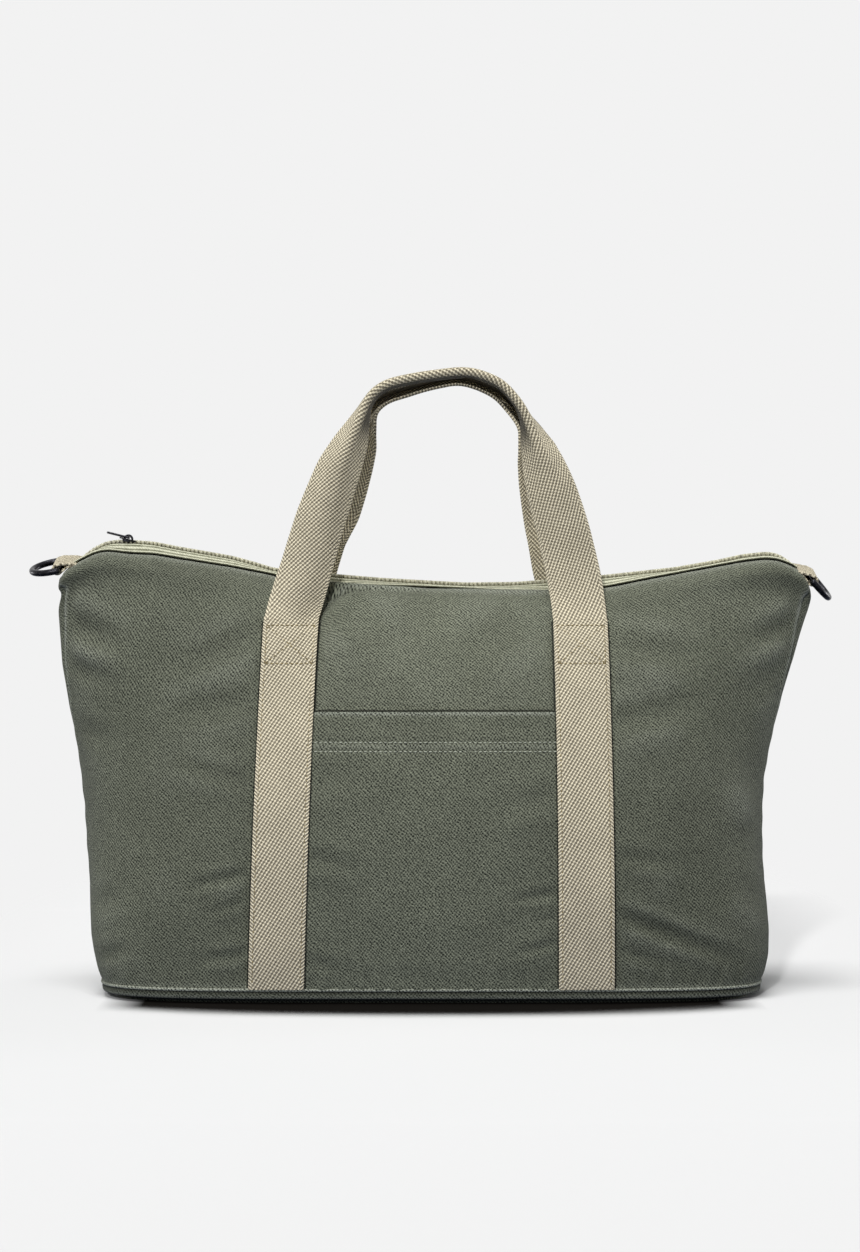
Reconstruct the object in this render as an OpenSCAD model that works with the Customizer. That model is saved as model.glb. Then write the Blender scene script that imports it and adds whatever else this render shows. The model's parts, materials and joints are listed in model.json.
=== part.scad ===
// Canvas weekender bag: two lofted canvas panels meeting in a seam down each end, a flat base,
// a sagging zip ridge, webbing that runs from the base seam up into two carrying handles,
// and a D-ring in a webbing tab at each end of the zip.
// Millimetres. +Z is up, -Y is the front, and the origin is the centre of the base on the floor.

/* [Canvas body] */
// Length of the bag at the base seam
seam_length = 464; // [400:2:520]
// Length at the waist, just above the base
waist_length = 484; // [420:2:540]
// Length from end seam to end seam under the zip
crown_length = 538; // [480:2:600]
// Depth front to back at the base seam
seam_depth = 196; // [150:2:240]
// Depth at the fullest part of the belly
belly_depth = 208; // [160:2:260]
// Height of the base seam above the floor
seam_z = 10; // [6:0.5:16]
// Height of the fullest part of the belly
belly_z = 80; // [60:1:110]
// Height at which the ends start to flare outwards
waist_z = 118; // [90:1:150]
// Thickness of the canvas
canvas_t = 1.2; // [0.8:0.1:2]
// How far the base panel draws in between its seam and the floor
foot_inset = 9; // [4:0.5:14]
// Thickness of the stiff board inside the base
board_t = 3; // [2:0.5:5]

/* [Zip line] */
// Radius of the sagging zip
zip_r = 1000; // [800:10:1400]
// Height of the lowest point of the zip
zip_low_z = 287; // [270:1:300]
// Distance of the lowest point from the middle of the bag
zip_low_x = 25; // [0:1:40]
// Distance of the left shoulder from the middle of the bag
shoulder_left = 224; // [214:1:228]
// Distance of the right shoulder from the middle of the bag
shoulder_right = 236; // [230:1:240]
// Radius of the turn at each shoulder
shoulder_r = 22; // [14:1:30]
// Slope of the zip line below the shoulder, in degrees
shoulder_drop = 42; // [34:1:46]
// How far the canvas edge lies below the zip teeth
edge_drop = 6; // [5:0.5:8]
// Half the distance between the two canvas edges along the zip
edge_y = 8; // [7:0.5:10]

/* [Zip] */
// Distance from one tooth to the next on the same tape
tooth_pitch = 3; // [2.6:0.2:4]
// Size of a tooth along the zip
tooth_w = 1.1; // [0.8:0.1:1.2]
// Height of a tooth
tooth_h = 2.4; // [1.8:0.1:3]
// How far each tooth reaches past the middle of the zip
tooth_reach = 0.9; // [0.6:0.1:1.1]
// Distance of the tape's left end from the middle of the bag
tape_end_left = 253; // [248:1:253]
// Distance of the tape's right end from the middle of the bag
tape_end_right = 259; // [257:1:259]
// Half the slot between the two tapes
tape_slot = 1.8; // [1.7:0.1:2.2]
// Thickness of the zip tape
tape_t = 0.6; // [0.4:0.1:1]
// Distance of the parked slider from the middle of the bag
park_x = 217; // [200:1:218]
// Distance of the slider at its far end from the middle of the bag
far_x = 229; // [200:1:230]
// Length of the slider
slider_l = 12; // [9:0.5:14]
// Width of the slider
slider_w = 9.6; // [8:0.2:12]
// Thickness of the slider's plates
plate_t = 1; // [0.8:0.1:1.4]
// Diameter of the wire of the slider's bail and pull
pull_wire = 1.6; // [1.2:0.1:2]
// Length of the pull
pull_l = 17; // [12:0.5:26]
// Width of the pull
pull_w = 7.5; // [6:0.5:10]

/* [Opening] */
// Half the length of the mouth that opens
mouth_half = 165; // [140:1:180]
// Height of the fold line below the mouth
fold_z = 200; // [190:1:215]
// Clearance between soft pieces that move apart
soft_gap = 0.3; // [0.2:0.05:0.5]

/* [Webbing] */
// Width of the webbing
web_w = 38; // [30:1:50]
// Thickness of the webbing
web_t = 2; // [1.4:0.1:2.6]
// Half the distance between the straps at the base seam
leg_foot_x = 105.5; // [90:0.5:120]
// Half the distance between the straps where the handle leaves the bag
leg_head_x = 101; // [85:0.5:115]
// How far the handle's middle lies to the right
head_shift = 3; // [0:0.5:6]
// Height at which the handle leaves the bag
head_z = 261; // [250:1:266]
// Height of the handle above the place where it leaves the bag
handle_rise = 180; // [150:1:220]
// Lean of the handle's legs at the bottom, in degrees
leg_lean_low = 9; // [4:1:12]
// Lean of the handle's legs at the top, in degrees
leg_lean_high = 21; // [16:1:26]
// Radius of the handle's corners
handle_corner_r = 26; // [18:1:34]
// Lean of the handle at the end of its corner, in degrees
crown_lean = 80; // [74:1:84]
// Angle to which each half of the grip is folded back, in degrees
grip_fold = 85; // [60:1:88]
// Half the width of webbing that bends in the grip's fold
fold_bend = 5; // [4:0.5:7]
// How far the handle swings back above the panel
handle_back = 16; // [10:1:20]

/* [Pocket] */
// Height of the pocket's mouth
pocket_z = 197; // [150:1:198]

/* [D-rings] */
// Diameter of the ring's wire
ring_wire = 4.6; // [3:0.2:6]
// Inside width of the ring
ring_w = 26; // [20:1:34]
// Length of the ring's straight sides
ring_leg = 4; // [2:0.5:8]
// Distance of the left ring's bar from the middle of the bag
bar_left_x = 266; // [262:1:272]
// Distance of the right ring's bar from the middle of the bag
bar_right_x = 271; // [268:1:278]
// Height of the left ring's bar above the zip's lowest point
bar_left_up = 13; // [9:1:19]
// Height of the right ring's bar above the zip's lowest point
bar_right_up = 5; // [1:1:11]
// Slope of the left tab down towards the ring, in degrees
tab_left_drop = 30; // [20:1:42]
// Slope of the right tab down towards the ring, in degrees
tab_right_drop = 42; // [30:1:46]
// Length of the tab from the ring's bar to the seam
tab_l = 13; // [9:0.5:18]
// Thickness of the tab's webbing
tab_t = 1.6; // [1.2:0.1:2]
// Slope of the left ring below level, in degrees
ring_left_drop = 10; // [0:1:60]
// Slope of the right ring below level, in degrees
ring_right_drop = 48; // [0:1:60]
// Twist of each ring towards the front, in degrees
ring_twist = 16; // [0:1:25]

/* [Hidden] */

canvas_colour = "#62665a";
web_colour = "#b3ab95";
tape_colour = "#c3c4a2";
metal_colour = "#2e2e30";
board_colour = "#3c3a36";

// The canvas narrows towards the zip as a roof: 1 is a straight slope, 0.5 a round one
roof_power = 0.62;
// Corner shape of the level sections: 2 is an ellipse, and a higher number is squarer
foot_square = 5;
roof_square = 2.1;
crown_square = 12;
crown_power = 10;
roof_square_z = 235;
// The canvas is thickest across its slope up to this factor
steep_limit = 1.6;
// Height over which the ends round out above the base seam
foot_round = 28;

crown_z = zip_low_z - edge_drop;
wing_columns = 8;
mouth_columns = 12;
low_rows = 8;
high_rows = 8;
// Rows lie closer together towards the base seam, and towards the zip
low_row_power = 1.5;
high_row_reach = 0.9;
ring_steps = 72;

// ---- Small helpers ----
function clamp01(v) = max(0, min(1, v));
function mix(a, b, t) = a + (b - a) * t;
function ease(v) = let (t = clamp01(v)) t * t * (3 - 2 * t);
function ease_out(v) = 1 - pow(1 - clamp01(v), 2);
function root_of_one(v, n) = pow(max(0, 1 - pow(min(1, abs(v)), n)), 1 / n);
function degrees(length, radius) = length / radius * 180 / PI;

// ---- The zip line, seen from the front ----
// Each side is the sagging arc, then the shoulder's arc, then a straight drop to the corner.
function side_of(x) = x < zip_low_x ? -1 : 1;
function run_of(side) = side < 0 ? shoulder_left + zip_low_x : shoulder_right - zip_low_x;
function rise_of(side) = asin(run_of(side) / zip_r);
function sag_z(u) = zip_low_z + zip_r - sqrt(pow(zip_r, 2) - pow(u, 2));
function turn_u(side) = run_of(side) + shoulder_r * sin(rise_of(side));
function turn_z(side) = sag_z(run_of(side)) - shoulder_r * cos(rise_of(side));
function drop_u(side) = turn_u(side) + shoulder_r * sin(shoulder_drop);
function drop_z(side) = turn_z(side) + shoulder_r * cos(shoulder_drop);
function ridge_z(x) =
    let (side = side_of(x), u = abs(x - zip_low_x))
    u <= run_of(side) ? sag_z(u)
    : u <= drop_u(side) ? turn_z(side) + sqrt(pow(shoulder_r, 2) - pow(u - turn_u(side), 2))
    : drop_z(side) - (u - drop_u(side)) * tan(shoulder_drop);
// Lengths along the zip from its lowest point to the end of the arc and of the shoulder's turn
function arc_length(side) = zip_r * rise_of(side) * PI / 180;
function turn_length(side) = shoulder_r * (rise_of(side) + shoulder_drop) * PI / 180;
// Length along the sagging arc to a place x
function along(x) = zip_r * asin((x - zip_low_x) / zip_r) * PI / 180;
// A point beside the zip: a length along it, out to the front, and down from the teeth
function zip_point(s, out, drop) =
    let (side = s < 0 ? -1 : 1, past = abs(s) - arc_length(side))
    past <= 0
    ? let (a = degrees(s, zip_r), r = zip_r + drop)
        [zip_low_x + r * sin(a), -out, zip_low_z + zip_r - r * cos(a)]
    : let (turned = min(past, turn_length(side)), straight = past - turned,
           a = rise_of(side) - degrees(turned, shoulder_r), r = shoulder_r - drop)
        [zip_low_x + side * (turn_u(side) - r * sin(a) + straight * cos(a)), -out,
         turn_z(side) + r * cos(a) + straight * sin(a)];

// ---- The canvas surface ----
// h is the height on the bag's middle line. Above the fold, each column stretches to the zip.
function half_length(h) =
    (mix(seam_length, waist_length, ease_out((h - seam_z) / foot_round))
     + (crown_length - waist_length) * ease((h - waist_z) / (crown_z - waist_z))) / 2;
function half_depth(h) =
    h <= belly_z ? mix(seam_depth, belly_depth, ease_out((h - seam_z) / (belly_z - seam_z))) / 2
    : edge_y + (belly_depth / 2 - edge_y)
        * pow(max(0, 1 - pow((h - belly_z) / (crown_z - belly_z), 2)), roof_power);
function square_of(h) =
    h <= roof_square_z
    ? roof_square + (foot_square - roof_square) * pow((roof_square_z - h) / (roof_square_z - seam_z), 2)
    : roof_square + (crown_square - roof_square) * pow((h - roof_square_z) / (crown_z - roof_square_z), crown_power);
function slope_of(h) = (half_depth(min(crown_z, h + 1)) - half_depth(h - 1)) / (min(crown_z, h + 1) - h + 1);
function steep(h) = min(steep_limit, sqrt(1 + pow(slope_of(h), 2)));
function lift_z(h, x) =
    h <= fold_z ? h
    : mix(fold_z, ridge_z(x) - edge_drop, (h - fold_z) / (crown_z - fold_z));
// The front surface at a place x, and out millimetres outside it
function skin(x, h, out) =
    [x, -(half_depth(h) + out * steep(h)) * root_of_one(x / (half_length(h) + out), square_of(h)),
     lift_z(h, x)];
// The same surface by its turn q round the end: 0 at the end seam, 90 at the middle of the front
function skin_end(q, h, side, out) =
    let (n = square_of(h), x = side * (half_length(h) + out) * pow(cos(q), 2 / n))
    [x, -(half_depth(h) + out * steep(h)) * pow(sin(q), 2 / n), lift_z(h, x)];
// The h of a place at height z in the column at x
function level_h(z, x) =
    z <= fold_z ? z : mix(fold_z, crown_z, (z - fold_z) / (ridge_z(x) - edge_drop - fold_z));
function turn_at(x, h, out) = acos(pow(x / (half_length(h) + out), square_of(h) / 2));

// ---- Cloth solids ----
// A closed solid between two grids of points, without the cells that keep() refuses
module cloth(outer, inner, keep = function(i, j) true) {
    rows = len(outer) - 1;
    columns = len(outer[0]) - 1;
    back = (rows + 1) * (columns + 1);
    held = function(i, j) i >= 0 && j >= 0 && i < rows && j < columns && keep(i, j);
    at = function(i, j) i * (columns + 1) + j;
    faces = [
        for (i = [0 : rows - 1], j = [0 : columns - 1]) if (held(i, j))
            let (a = at(i, j), b = at(i, j + 1), c = at(i + 1, j + 1), d = at(i + 1, j))
            each [
                [a, d, c], [a, c, b],
                [a + back, b + back, c + back], [a + back, c + back, d + back],
                if (!held(i - 1, j)) each [[a, b, b + back], [a, b + back, a + back]],
                if (!held(i, j - 1)) each [[d, a, a + back], [d, a + back, d + back]],
                if (!held(i + 1, j)) each [[c, d, d + back], [c, d + back, c + back]],
                if (!held(i, j + 1)) each [[b, c, c + back], [b, c + back, b + back]]
            ]
    ];
    polyhedron(points = [for (row = outer) each row, for (row = inner) each row], faces = faces);
}

// The faces of a closed solid through rings of n points each
function ring_faces(rings, n) = concat(
    [[for (k = [0 : n - 1]) k]],
    [for (i = [0 : rings - 2], k = [0 : n - 1]) let (a = i * n + k, b = i * n + (k + 1) % n)
        each [[a, a + n, b + n], [a, b + n, b]]],
    [[for (k = [n - 1 : -1 : 0]) (rings - 1) * n + k]]
);

// Row heights from the base seam to the fold, and from the fold to the zip
function low_heights(top) = [for (i = [0 : low_rows]) mix(seam_z, top, pow(i / low_rows, low_row_power))];
function high_heights(bottom) =
    [for (i = [0 : high_rows])
        mix(bottom, crown_z, ease_out(i / high_rows * high_row_reach) / ease_out(high_row_reach))];

// One row of points right across the front, with straight columns below the mouth
function panel_row(h, edge_x, out) =
    let (start = turn_at(edge_x, h, out))
    [
        for (j = [0 : wing_columns]) skin_end(start * j / wing_columns, h, -1, out),
        for (j = [1 : mouth_columns - 1]) skin(mix(-edge_x, edge_x, j / mouth_columns), h, out),
        for (j = [wing_columns : -1 : 0]) skin_end(start * j / wing_columns, h, 1, out)
    ];

// The front canvas in one piece: below the fold right across, and on beside the mouth to the zip
module side_panel() {
    edge_x = mouth_half + soft_gap / 2;
    heights = concat(low_heights(fold_z - soft_gap / 2),
                     [for (i = [1 : high_rows]) high_heights(fold_z)[i]]);
    color(canvas_colour)
        cloth([for (h = heights) panel_row(h, edge_x, 0)],
              [for (h = heights) panel_row(h, edge_x, -canvas_t)],
              function(i, j) i < low_rows || j < wing_columns || j >= wing_columns + mouth_columns);
}

// A patch of cloth on the front surface with level rows between two edges, functions of the height
module patch(heights, left, right, columns, inside, outside) {
    grid = function(out) [for (z = heights)
        [for (j = [0 : columns]) let (x = mix(left(z), right(z), j / columns))
            skin(x, level_h(z, x), out)]];
    cloth(grid(outside), grid(inside));
}

// The part of the canvas that folds outwards when the bag is opened
module mouth_panel() {
    edge_x = mouth_half - soft_gap / 2;
    grid = function(out) [for (h = high_heights(fold_z + soft_gap / 2))
        [for (j = [0 : mouth_columns]) skin(mix(-edge_x, edge_x, j / mouth_columns), h, out)]];
    color(canvas_colour) cloth(grid(0), grid(-canvas_t));
}

// A patch pocket between the straps, open along its top
module pocket() {
    color(canvas_colour)
        patch(low_heights(pocket_z), function(z) leg_x(z, -1) + web_w / 2 + soft_gap,
              function(z) leg_x(z, 1) - web_w / 2 - soft_gap,
              mouth_columns, soft_gap, soft_gap + canvas_t);
}

// ---- Webbing on the canvas ----
function leg_x(z, side) =
    let (t = (z - seam_z) / (head_z - seam_z)) mix(0, head_shift, t) + side * mix(leg_foot_x, leg_head_x, t);

module strap_patch(heights, side) {
    color(web_colour)
        patch(heights, function(z) leg_x(z, side) - web_w / 2, function(z) leg_x(z, side) + web_w / 2,
              4, soft_gap, soft_gap + web_t);
}

// The stitched strap from the base seam to the fold
module lower_strap(side) {
    strap_patch(low_heights(fold_z - soft_gap / 2), side);
}

// The stitched strap from the fold to the place where the handle leaves the bag
module sewn_strap(side) {
    bottom = fold_z + soft_gap / 2;
    strap_patch([for (i = [0 : 6]) mix(bottom, head_z, i / 6)], side);
}

// ---- Handle ----
// Seen from the front, half a handle is a long arc for the leg, a corner, and a shallow crown arc.
// The leg's and the crown's radius follow from the handle's rise and spread.
corner_u = handle_corner_r * (cos(leg_lean_high) - cos(crown_lean));
corner_v = handle_corner_r * (sin(crown_lean) - sin(leg_lean_high));
leg_u = cos(leg_lean_low) - cos(leg_lean_high);
leg_v = sin(leg_lean_high) - sin(leg_lean_low);
crown_u = cos(crown_lean);
crown_v = 1 - sin(crown_lean);
spread_left = leg_head_x - corner_u;
rise_left = handle_rise - corner_v;
path_scale = leg_u * crown_v - leg_v * crown_u;
leg_r = (spread_left * crown_v - rise_left * crown_u) / path_scale;
crown_r = (leg_u * rise_left - leg_v * spread_left) / path_scale;

leg_steps = 12;
corner_steps = 7;
crown_steps = 4;
// Each station is [distance from the middle, height, lean from upright]
half_path = concat(
    [for (i = [0 : leg_steps]) let (a = mix(leg_lean_low, leg_lean_high, i / leg_steps))
        [leg_head_x - leg_r * (cos(leg_lean_low) - cos(a)), leg_r * (sin(a) - sin(leg_lean_low)), a]],
    [for (i = [1 : corner_steps]) let (a = mix(leg_lean_high, crown_lean, i / corner_steps))
        [crown_r * crown_u + handle_corner_r * (cos(a) - cos(crown_lean)),
         leg_r * leg_v + handle_corner_r * (sin(a) - sin(leg_lean_high)), a]],
    [for (i = [1 : crown_steps]) let (a = mix(crown_lean, 90, i / crown_steps))
        [crown_r * cos(a), leg_r * leg_v + corner_v + crown_r * (sin(a) - sin(crown_lean)), a]]
);
half_steps = len(half_path) - 1;
full_path = concat(
    [for (p = half_path) [-p[0], p[1], p[2]]],
    [for (i = [half_steps - 1 : -1 : 0]) let (p = half_path[i]) [p[0], p[1], 180 - p[2]]]
);

section_steps = 8;
// The fold starts this far above the foot, and is whole at this share of the handle's rise
fold_start = 18;
fold_whole = 0.9;
fold_power = 1.4;
flat_fold = 0.5;
function fold_at(rise) =
    let (t = clamp01((rise - fold_start) / (handle_rise * fold_whole - fold_start)))
    max(flat_fold, grip_fold * pow(t, fold_power));
// The middle line of the webbing's section: across the strap, and back from its crease
function section_point(w, fold) =
    let (r = fold_bend * 180 / PI / fold, a = fold * min(abs(w), fold_bend) / fold_bend,
         rest = max(0, abs(w) - fold_bend))
    [sign(w) * (r * sin(a) + rest * cos(fold)), r * (1 - cos(a)) + rest * sin(fold)];
function section_normal(w, fold) =
    let (a = fold * max(-1, min(1, w / fold_bend))) [-sin(a), cos(a)];
// The handle swings back from the panel's slope until it stands nearly upright
swing_rise = 22;
upright_slope = 0.02;
function swing_back(rise) = handle_back * (1 - exp(-rise / swing_rise)) + rise * upright_slope;
// The strap is cut level at its foot, and square to its path above that
level_cut = 14;
function tilt_at(station) =
    let (k = clamp01(station[1] / level_cut))
    station[2] <= 90 ? k * station[2] : 180 - k * (180 - station[2]);
function handle_point(station, w, out) =
    let (fold = fold_at(station[1]),
         tilt = tilt_at(station),
         m = section_point(w, fold) - out * section_normal(w, fold),
         across = (station[0] / leg_head_x + 1) / 2)
    [head_shift + station[0] + m[0] * cos(tilt),
     mix(foot_y(-1), foot_y(1), across) + swing_back(station[1]) + m[1],
     head_z + soft_gap + station[1] - m[0] * sin(tilt)];

// The sewn strap's outer face at its top, at the edge nearer the middle of the bag
function foot_y(side) =
    let (x = leg_x(head_z, side) - side * web_w / 2) skin(x, level_h(head_z, x), soft_gap + web_t)[1];

module handle() {
    grid = function(out) [for (i = [0 : len(full_path) - 1])
        [for (j = [0 : section_steps])
            handle_point(full_path[i], mix(-web_w / 2, web_w / 2, j / section_steps), out)]];
    color(web_colour) cloth(grid(0), grid(-web_t));
}

// ---- Base ----
// A full level outline of the body at height h, drawn in by inset
function outline(h, inset) =
    let (n = square_of(max(h, seam_z)), a = half_length(seam_z) - inset, b = half_depth(seam_z) - inset)
    [for (k = [0 : ring_steps - 1]) let (q = 360 * k / ring_steps)
        [a * sign(cos(q)) * pow(abs(cos(q)), 2 / n), b * sign(sin(q)) * pow(abs(sin(q)), 2 / n)]];
function foot_in(z) = foot_inset * (1 - sqrt(max(0, 1 - pow(1 - z / seam_z, 2))));

// The base panel is a shallow canvas tray that turns up to the base seam
module tray() {
    levels = [0, seam_z * 0.12, seam_z * 0.45, seam_z];
    rings = concat(
        [for (z = levels) [for (p = outline(seam_z, foot_in(z))) [p[0], p[1], z]]],
        [for (i = [3 : -1 : 0]) let (z = max(canvas_t, levels[i]))
            [for (p = outline(seam_z, foot_in(levels[i]) + canvas_t)) [p[0], p[1], z]]]
    );
    // The inside's second ring is left out where it would lie on the floor of the tray
    used = [for (i = [0 : len(rings) - 1]) if (i != len(rings) - 2 || levels[1] > canvas_t) rings[i]];
    polyhedron(points = [for (r = used) each r], faces = ring_faces(len(used), ring_steps));
}

module base_panel() {
    color(canvas_colour) tray();
}

module base_board() {
    color(board_colour)
        translate([0, 0, canvas_t])
            linear_extrude(board_t)
                polygon(outline(seam_z, foot_inset + canvas_t + 1));
}

// ---- Zip ----
// Moves children, drawn at the origin with +Z out of the bag, to a length along the zip
module at_zip(s) {
    side = s < 0 ? -1 : 1;
    past = abs(s) - arc_length(side);
    turned = min(past, turn_length(side));
    straight = past - turned;
    if (past <= 0)
        translate([zip_low_x, 0, zip_low_z + zip_r])
            rotate([0, -degrees(s, zip_r), 0])
                translate([0, 0, -zip_r]) children();
    else
        translate([zip_low_x + side * turn_u(side), 0, turn_z(side)])
            rotate([0, side * (degrees(turned, shoulder_r) - rise_of(side)), 0])
                translate([side * straight, 0, shoulder_r]) children();
}

// The half tape's section as [out from the middle, down from the teeth]: flat beside the teeth,
// then steep down inside the canvas edge, and a hem behind it
tape_flat = slider_w / 2 + 0.3;
tape_hem_out = tape_flat + 4;
tape_wall_drop = edge_drop + 2;
tape_hem_drop = tape_wall_drop + 3;
tape_section = [
    [tape_slot, 0], [tape_flat, 0], [tape_flat + 1, tape_wall_drop], [tape_hem_out, tape_hem_drop],
    [tape_hem_out - tape_t, tape_hem_drop + tape_t], [tape_flat + 1 - tape_t, tape_wall_drop + tape_t],
    [tape_flat - tape_t, tape_t], [tape_slot, tape_t]
];
// The cord along the tape's edge that carries its row of teeth
cord_in = tooth_reach + 0.15;
cord_out = tape_slot - 0.05;
cord_h = tooth_h * 0.4;
cord_section = [[cord_in, -cord_h], [cord_out, -cord_h], [cord_out, cord_h], [cord_in, cord_h]];
// Past the mouth the tape is narrower, with its wall upright and no hem, in one piece with its cord
end_section = [
    [cord_in, -cord_h], [tape_slot, -cord_h], [tape_slot, 0], [tape_flat, 0],
    [tape_flat, tape_wall_drop], [tape_flat - tape_t, tape_wall_drop], [tape_flat - tape_t, tape_t],
    [tape_slot, tape_t], [tape_slot, cord_h], [cord_in, cord_h]
];
teeth_left = park_x - slider_l * 0.05;
teeth_right = far_x - slider_l * 0.45;

// Sweeps a front section along the sagging arc between two places
module along_arc(x0, x1, section) {
    a0 = asin((x0 - zip_low_x) / zip_r);
    a1 = asin((x1 - zip_low_x) / zip_r);
    translate([zip_low_x, 0, zip_low_z + zip_r])
        rotate([90, 0, 0])
            rotate([0, 0, 270 + a0])
                rotate_extrude(angle = a1 - a0, $fn = 720)
                    polygon([for (p = section) [zip_r + p[1], p[0]]]);
}

// Sweeps a front section past the mouth: along the arc, round the shoulder and down the drop
module along_end(side, section) {
    turn_steps = 8;
    arc_end = arc_length(side);
    outward = concat(
        [for (t = [0, 0.5, 1]) mix(abs(along(side * (mouth_half + soft_gap / 2))), arc_end, t)],
        [for (i = [1 : turn_steps]) arc_end + turn_length(side) * i / turn_steps],
        [arc_end + turn_length(side) + drop_length(side)]
    );
    count = len(outward);
    stations = [for (i = [0 : count - 1]) side < 0 ? -outward[count - 1 - i] : outward[i]];
    polyhedron(points = [for (s = stations, p = section) zip_point(s, p[0], p[1])],
               faces = ring_faces(count, len(section)));
}

// A tooth of the front row, standing on its cord and reaching past the middle
module tooth() {
    translate([-tooth_w / 2, -cord_out, -tooth_h / 2])
        cube([tooth_w, cord_out + tooth_reach, tooth_h]);
}

// The teeth of one row between two lengths along the zip. Rows are half a pitch apart.
module tooth_row(from, to, offset) {
    for (i = [ceil((from - offset) / tooth_pitch) : floor((to - offset) / tooth_pitch)])
        at_zip(i * tooth_pitch + offset) tooth();
}

module mouth_tape() {
    edge = mouth_half - soft_gap / 2;
    color(tape_colour) along_arc(-edge, edge, tape_section);
}

module mouth_teeth(offset) {
    edge = mouth_half - soft_gap / 2;
    color(tape_colour) {
        along_arc(-edge, edge, cord_section);
        tooth_row(along(-edge) + tooth_w / 2, along(edge) - tooth_w / 2, offset);
    }
}

// Half of the zip past the mouth: teeth up to the slider's place, and tape on to the corner
module end_half(side, offset) {
    edge = mouth_half + soft_gap / 2;
    last = side < 0 ? teeth_left : min(teeth_right, shoulder_right);
    along_end(side, end_section);
    if (side < 0)
        tooth_row(along(-last), along(-edge) - tooth_w / 2, offset);
    else
        tooth_row(along(edge) + tooth_w / 2, along(last), offset);
}
function drop_length(side) =
    let (end = side < 0 ? tape_end_left : tape_end_right)
    max(2, (end - abs(zip_low_x + side * drop_u(side))) / cos(shoulder_drop));

// The closed end of the zip, its two halves joined by a bar tack at the corner
module zip_end(side) {
    color(tape_colour) {
        end_half(side, 0);
        mirror([0, 1, 0]) end_half(side, tooth_pitch / 2);
        at_zip(side * (arc_length(side) + turn_length(side) + drop_length(side) - 2))
            translate([-1, -tape_flat + tape_t / 2, -tape_t / 2])
                cube([2, 2 * tape_flat - tape_t, tape_t / 2 + 0.8]);
    }
}

// ---- Slider ----
plate_in = tooth_h / 2 + 0.3;
bail_r = pull_wire + 1.2;
bar_out = plate_in + plate_t + pull_wire / 2 + 0.15;
post_d = 2 * (tooth_reach + 0.15) - 0.1;

function slider_outline(width) = [
    [-slider_l / 2, -width * 0.42], [-slider_l * 0.32, -width / 2], [slider_l * 0.1, -width / 2],
    [slider_l / 2, -width * 0.33], [slider_l / 2, width * 0.33], [slider_l * 0.1, width / 2],
    [-slider_l * 0.32, width / 2], [-slider_l / 2, width * 0.42]
];

// Two plates on a post, with lips that guide the tapes, and a bail for the pull
module slider_body() {
    color(metal_colour)
        at_zip(along(-park_x)) {
            for (flip = [0, 1]) mirror([0, 0, flip]) {
                translate([0, 0, plate_in])
                    linear_extrude(plate_t) polygon(slider_outline(flip == 0 ? slider_w : slider_w - 1.6));
            }
            for (side = [-1, 1])
                translate([-slider_l * 0.3, side * (slider_w / 2 - 0.4) - 0.4, soft_gap])
                    cube([slider_l * 0.4, 0.8, plate_in]);
            translate([-slider_l / 4, 0, -plate_in - plate_t / 2])
                cylinder(d = post_d, h = 2 * plate_in + plate_t, $fn = 32);
            translate([0, 0, plate_in + plate_t - 0.2])
                rotate([90, 0, 0])
                    rotate_extrude(angle = 180, $fn = 48)
                        translate([bail_r, 0]) circle(d = pull_wire, $fn = 24);
        }
}

// A wire loop lying flat: a straight bar on the Y axis, two sides, and a round end
module wire_loop(width, leg, wire) {
    r = (width + wire) / 2;
    rotate([90, 0, 0]) cylinder(d = wire, h = 2 * r, center = true, $fn = 32);
    for (side = [-1, 1]) translate([0, side * r, 0]) {
        sphere(d = wire, $fn = 32);
        rotate([0, 90, 0]) cylinder(d = wire, h = leg, $fn = 32);
    }
    translate([leg, 0, 0])
        rotate([0, 0, -90])
            rotate_extrude(angle = 180, $fn = 64)
                translate([r, 0]) circle(d = wire, $fn = 32);
}

module slider_pull() {
    inner = pull_w - 2 * pull_wire;
    color(metal_colour)
        at_zip(along(-park_x))
            translate([0, 0, bar_out])
                mirror([1, 0, 0])
                    wire_loop(inner, pull_l - pull_w / 2 - pull_wire / 2, pull_wire);
}

// ---- D-rings and their tabs ----
// Moves children, drawn with the ring's bar on the Y axis and +X away from the bag, to one end
module at_bar(side) {
    translate([side < 0 ? -bar_left_x : bar_right_x, 0, zip_low_z + (side < 0 ? bar_left_up : bar_right_up)])
        rotate([ring_twist, 0, 0])
            mirror([side < 0 ? 1 : 0, 0, 0]) children();
}

module d_ring(side) {
    color(metal_colour)
        at_bar(side)
            rotate([0, side < 0 ? ring_left_drop : ring_right_drop, 0])
                wire_loop(ring_w, ring_leg, ring_wire);
}

// Webbing folded round the bar and sewn flat behind it
module tab(side) {
    inner = ring_wire / 2 + 0.2;
    outer = inner + tab_t;
    width = ring_w - 2;
    color(web_colour)
        at_bar(side)
            rotate([0, side < 0 ? tab_left_drop : tab_right_drop, 0])
                difference() {
                    union() {
                        rotate([90, 0, 0]) cylinder(r = outer, h = width, center = true, $fn = 48);
                        rotate([90, 0, 0])
                            linear_extrude(width, center = true)
                                polygon([[0, outer], [-tab_l / 2, tab_t], [-tab_l, tab_t],
                                         [-tab_l, -tab_t], [-tab_l / 2, -tab_t], [0, -outer]]);
                    }
                    rotate([90, 0, 0]) cylinder(r = inner, h = width + 2, center = true, $fn = 48);
                }
}

// ---- Pieces ----
module back() { mirror([0, 1, 0]) children(); }

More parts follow.
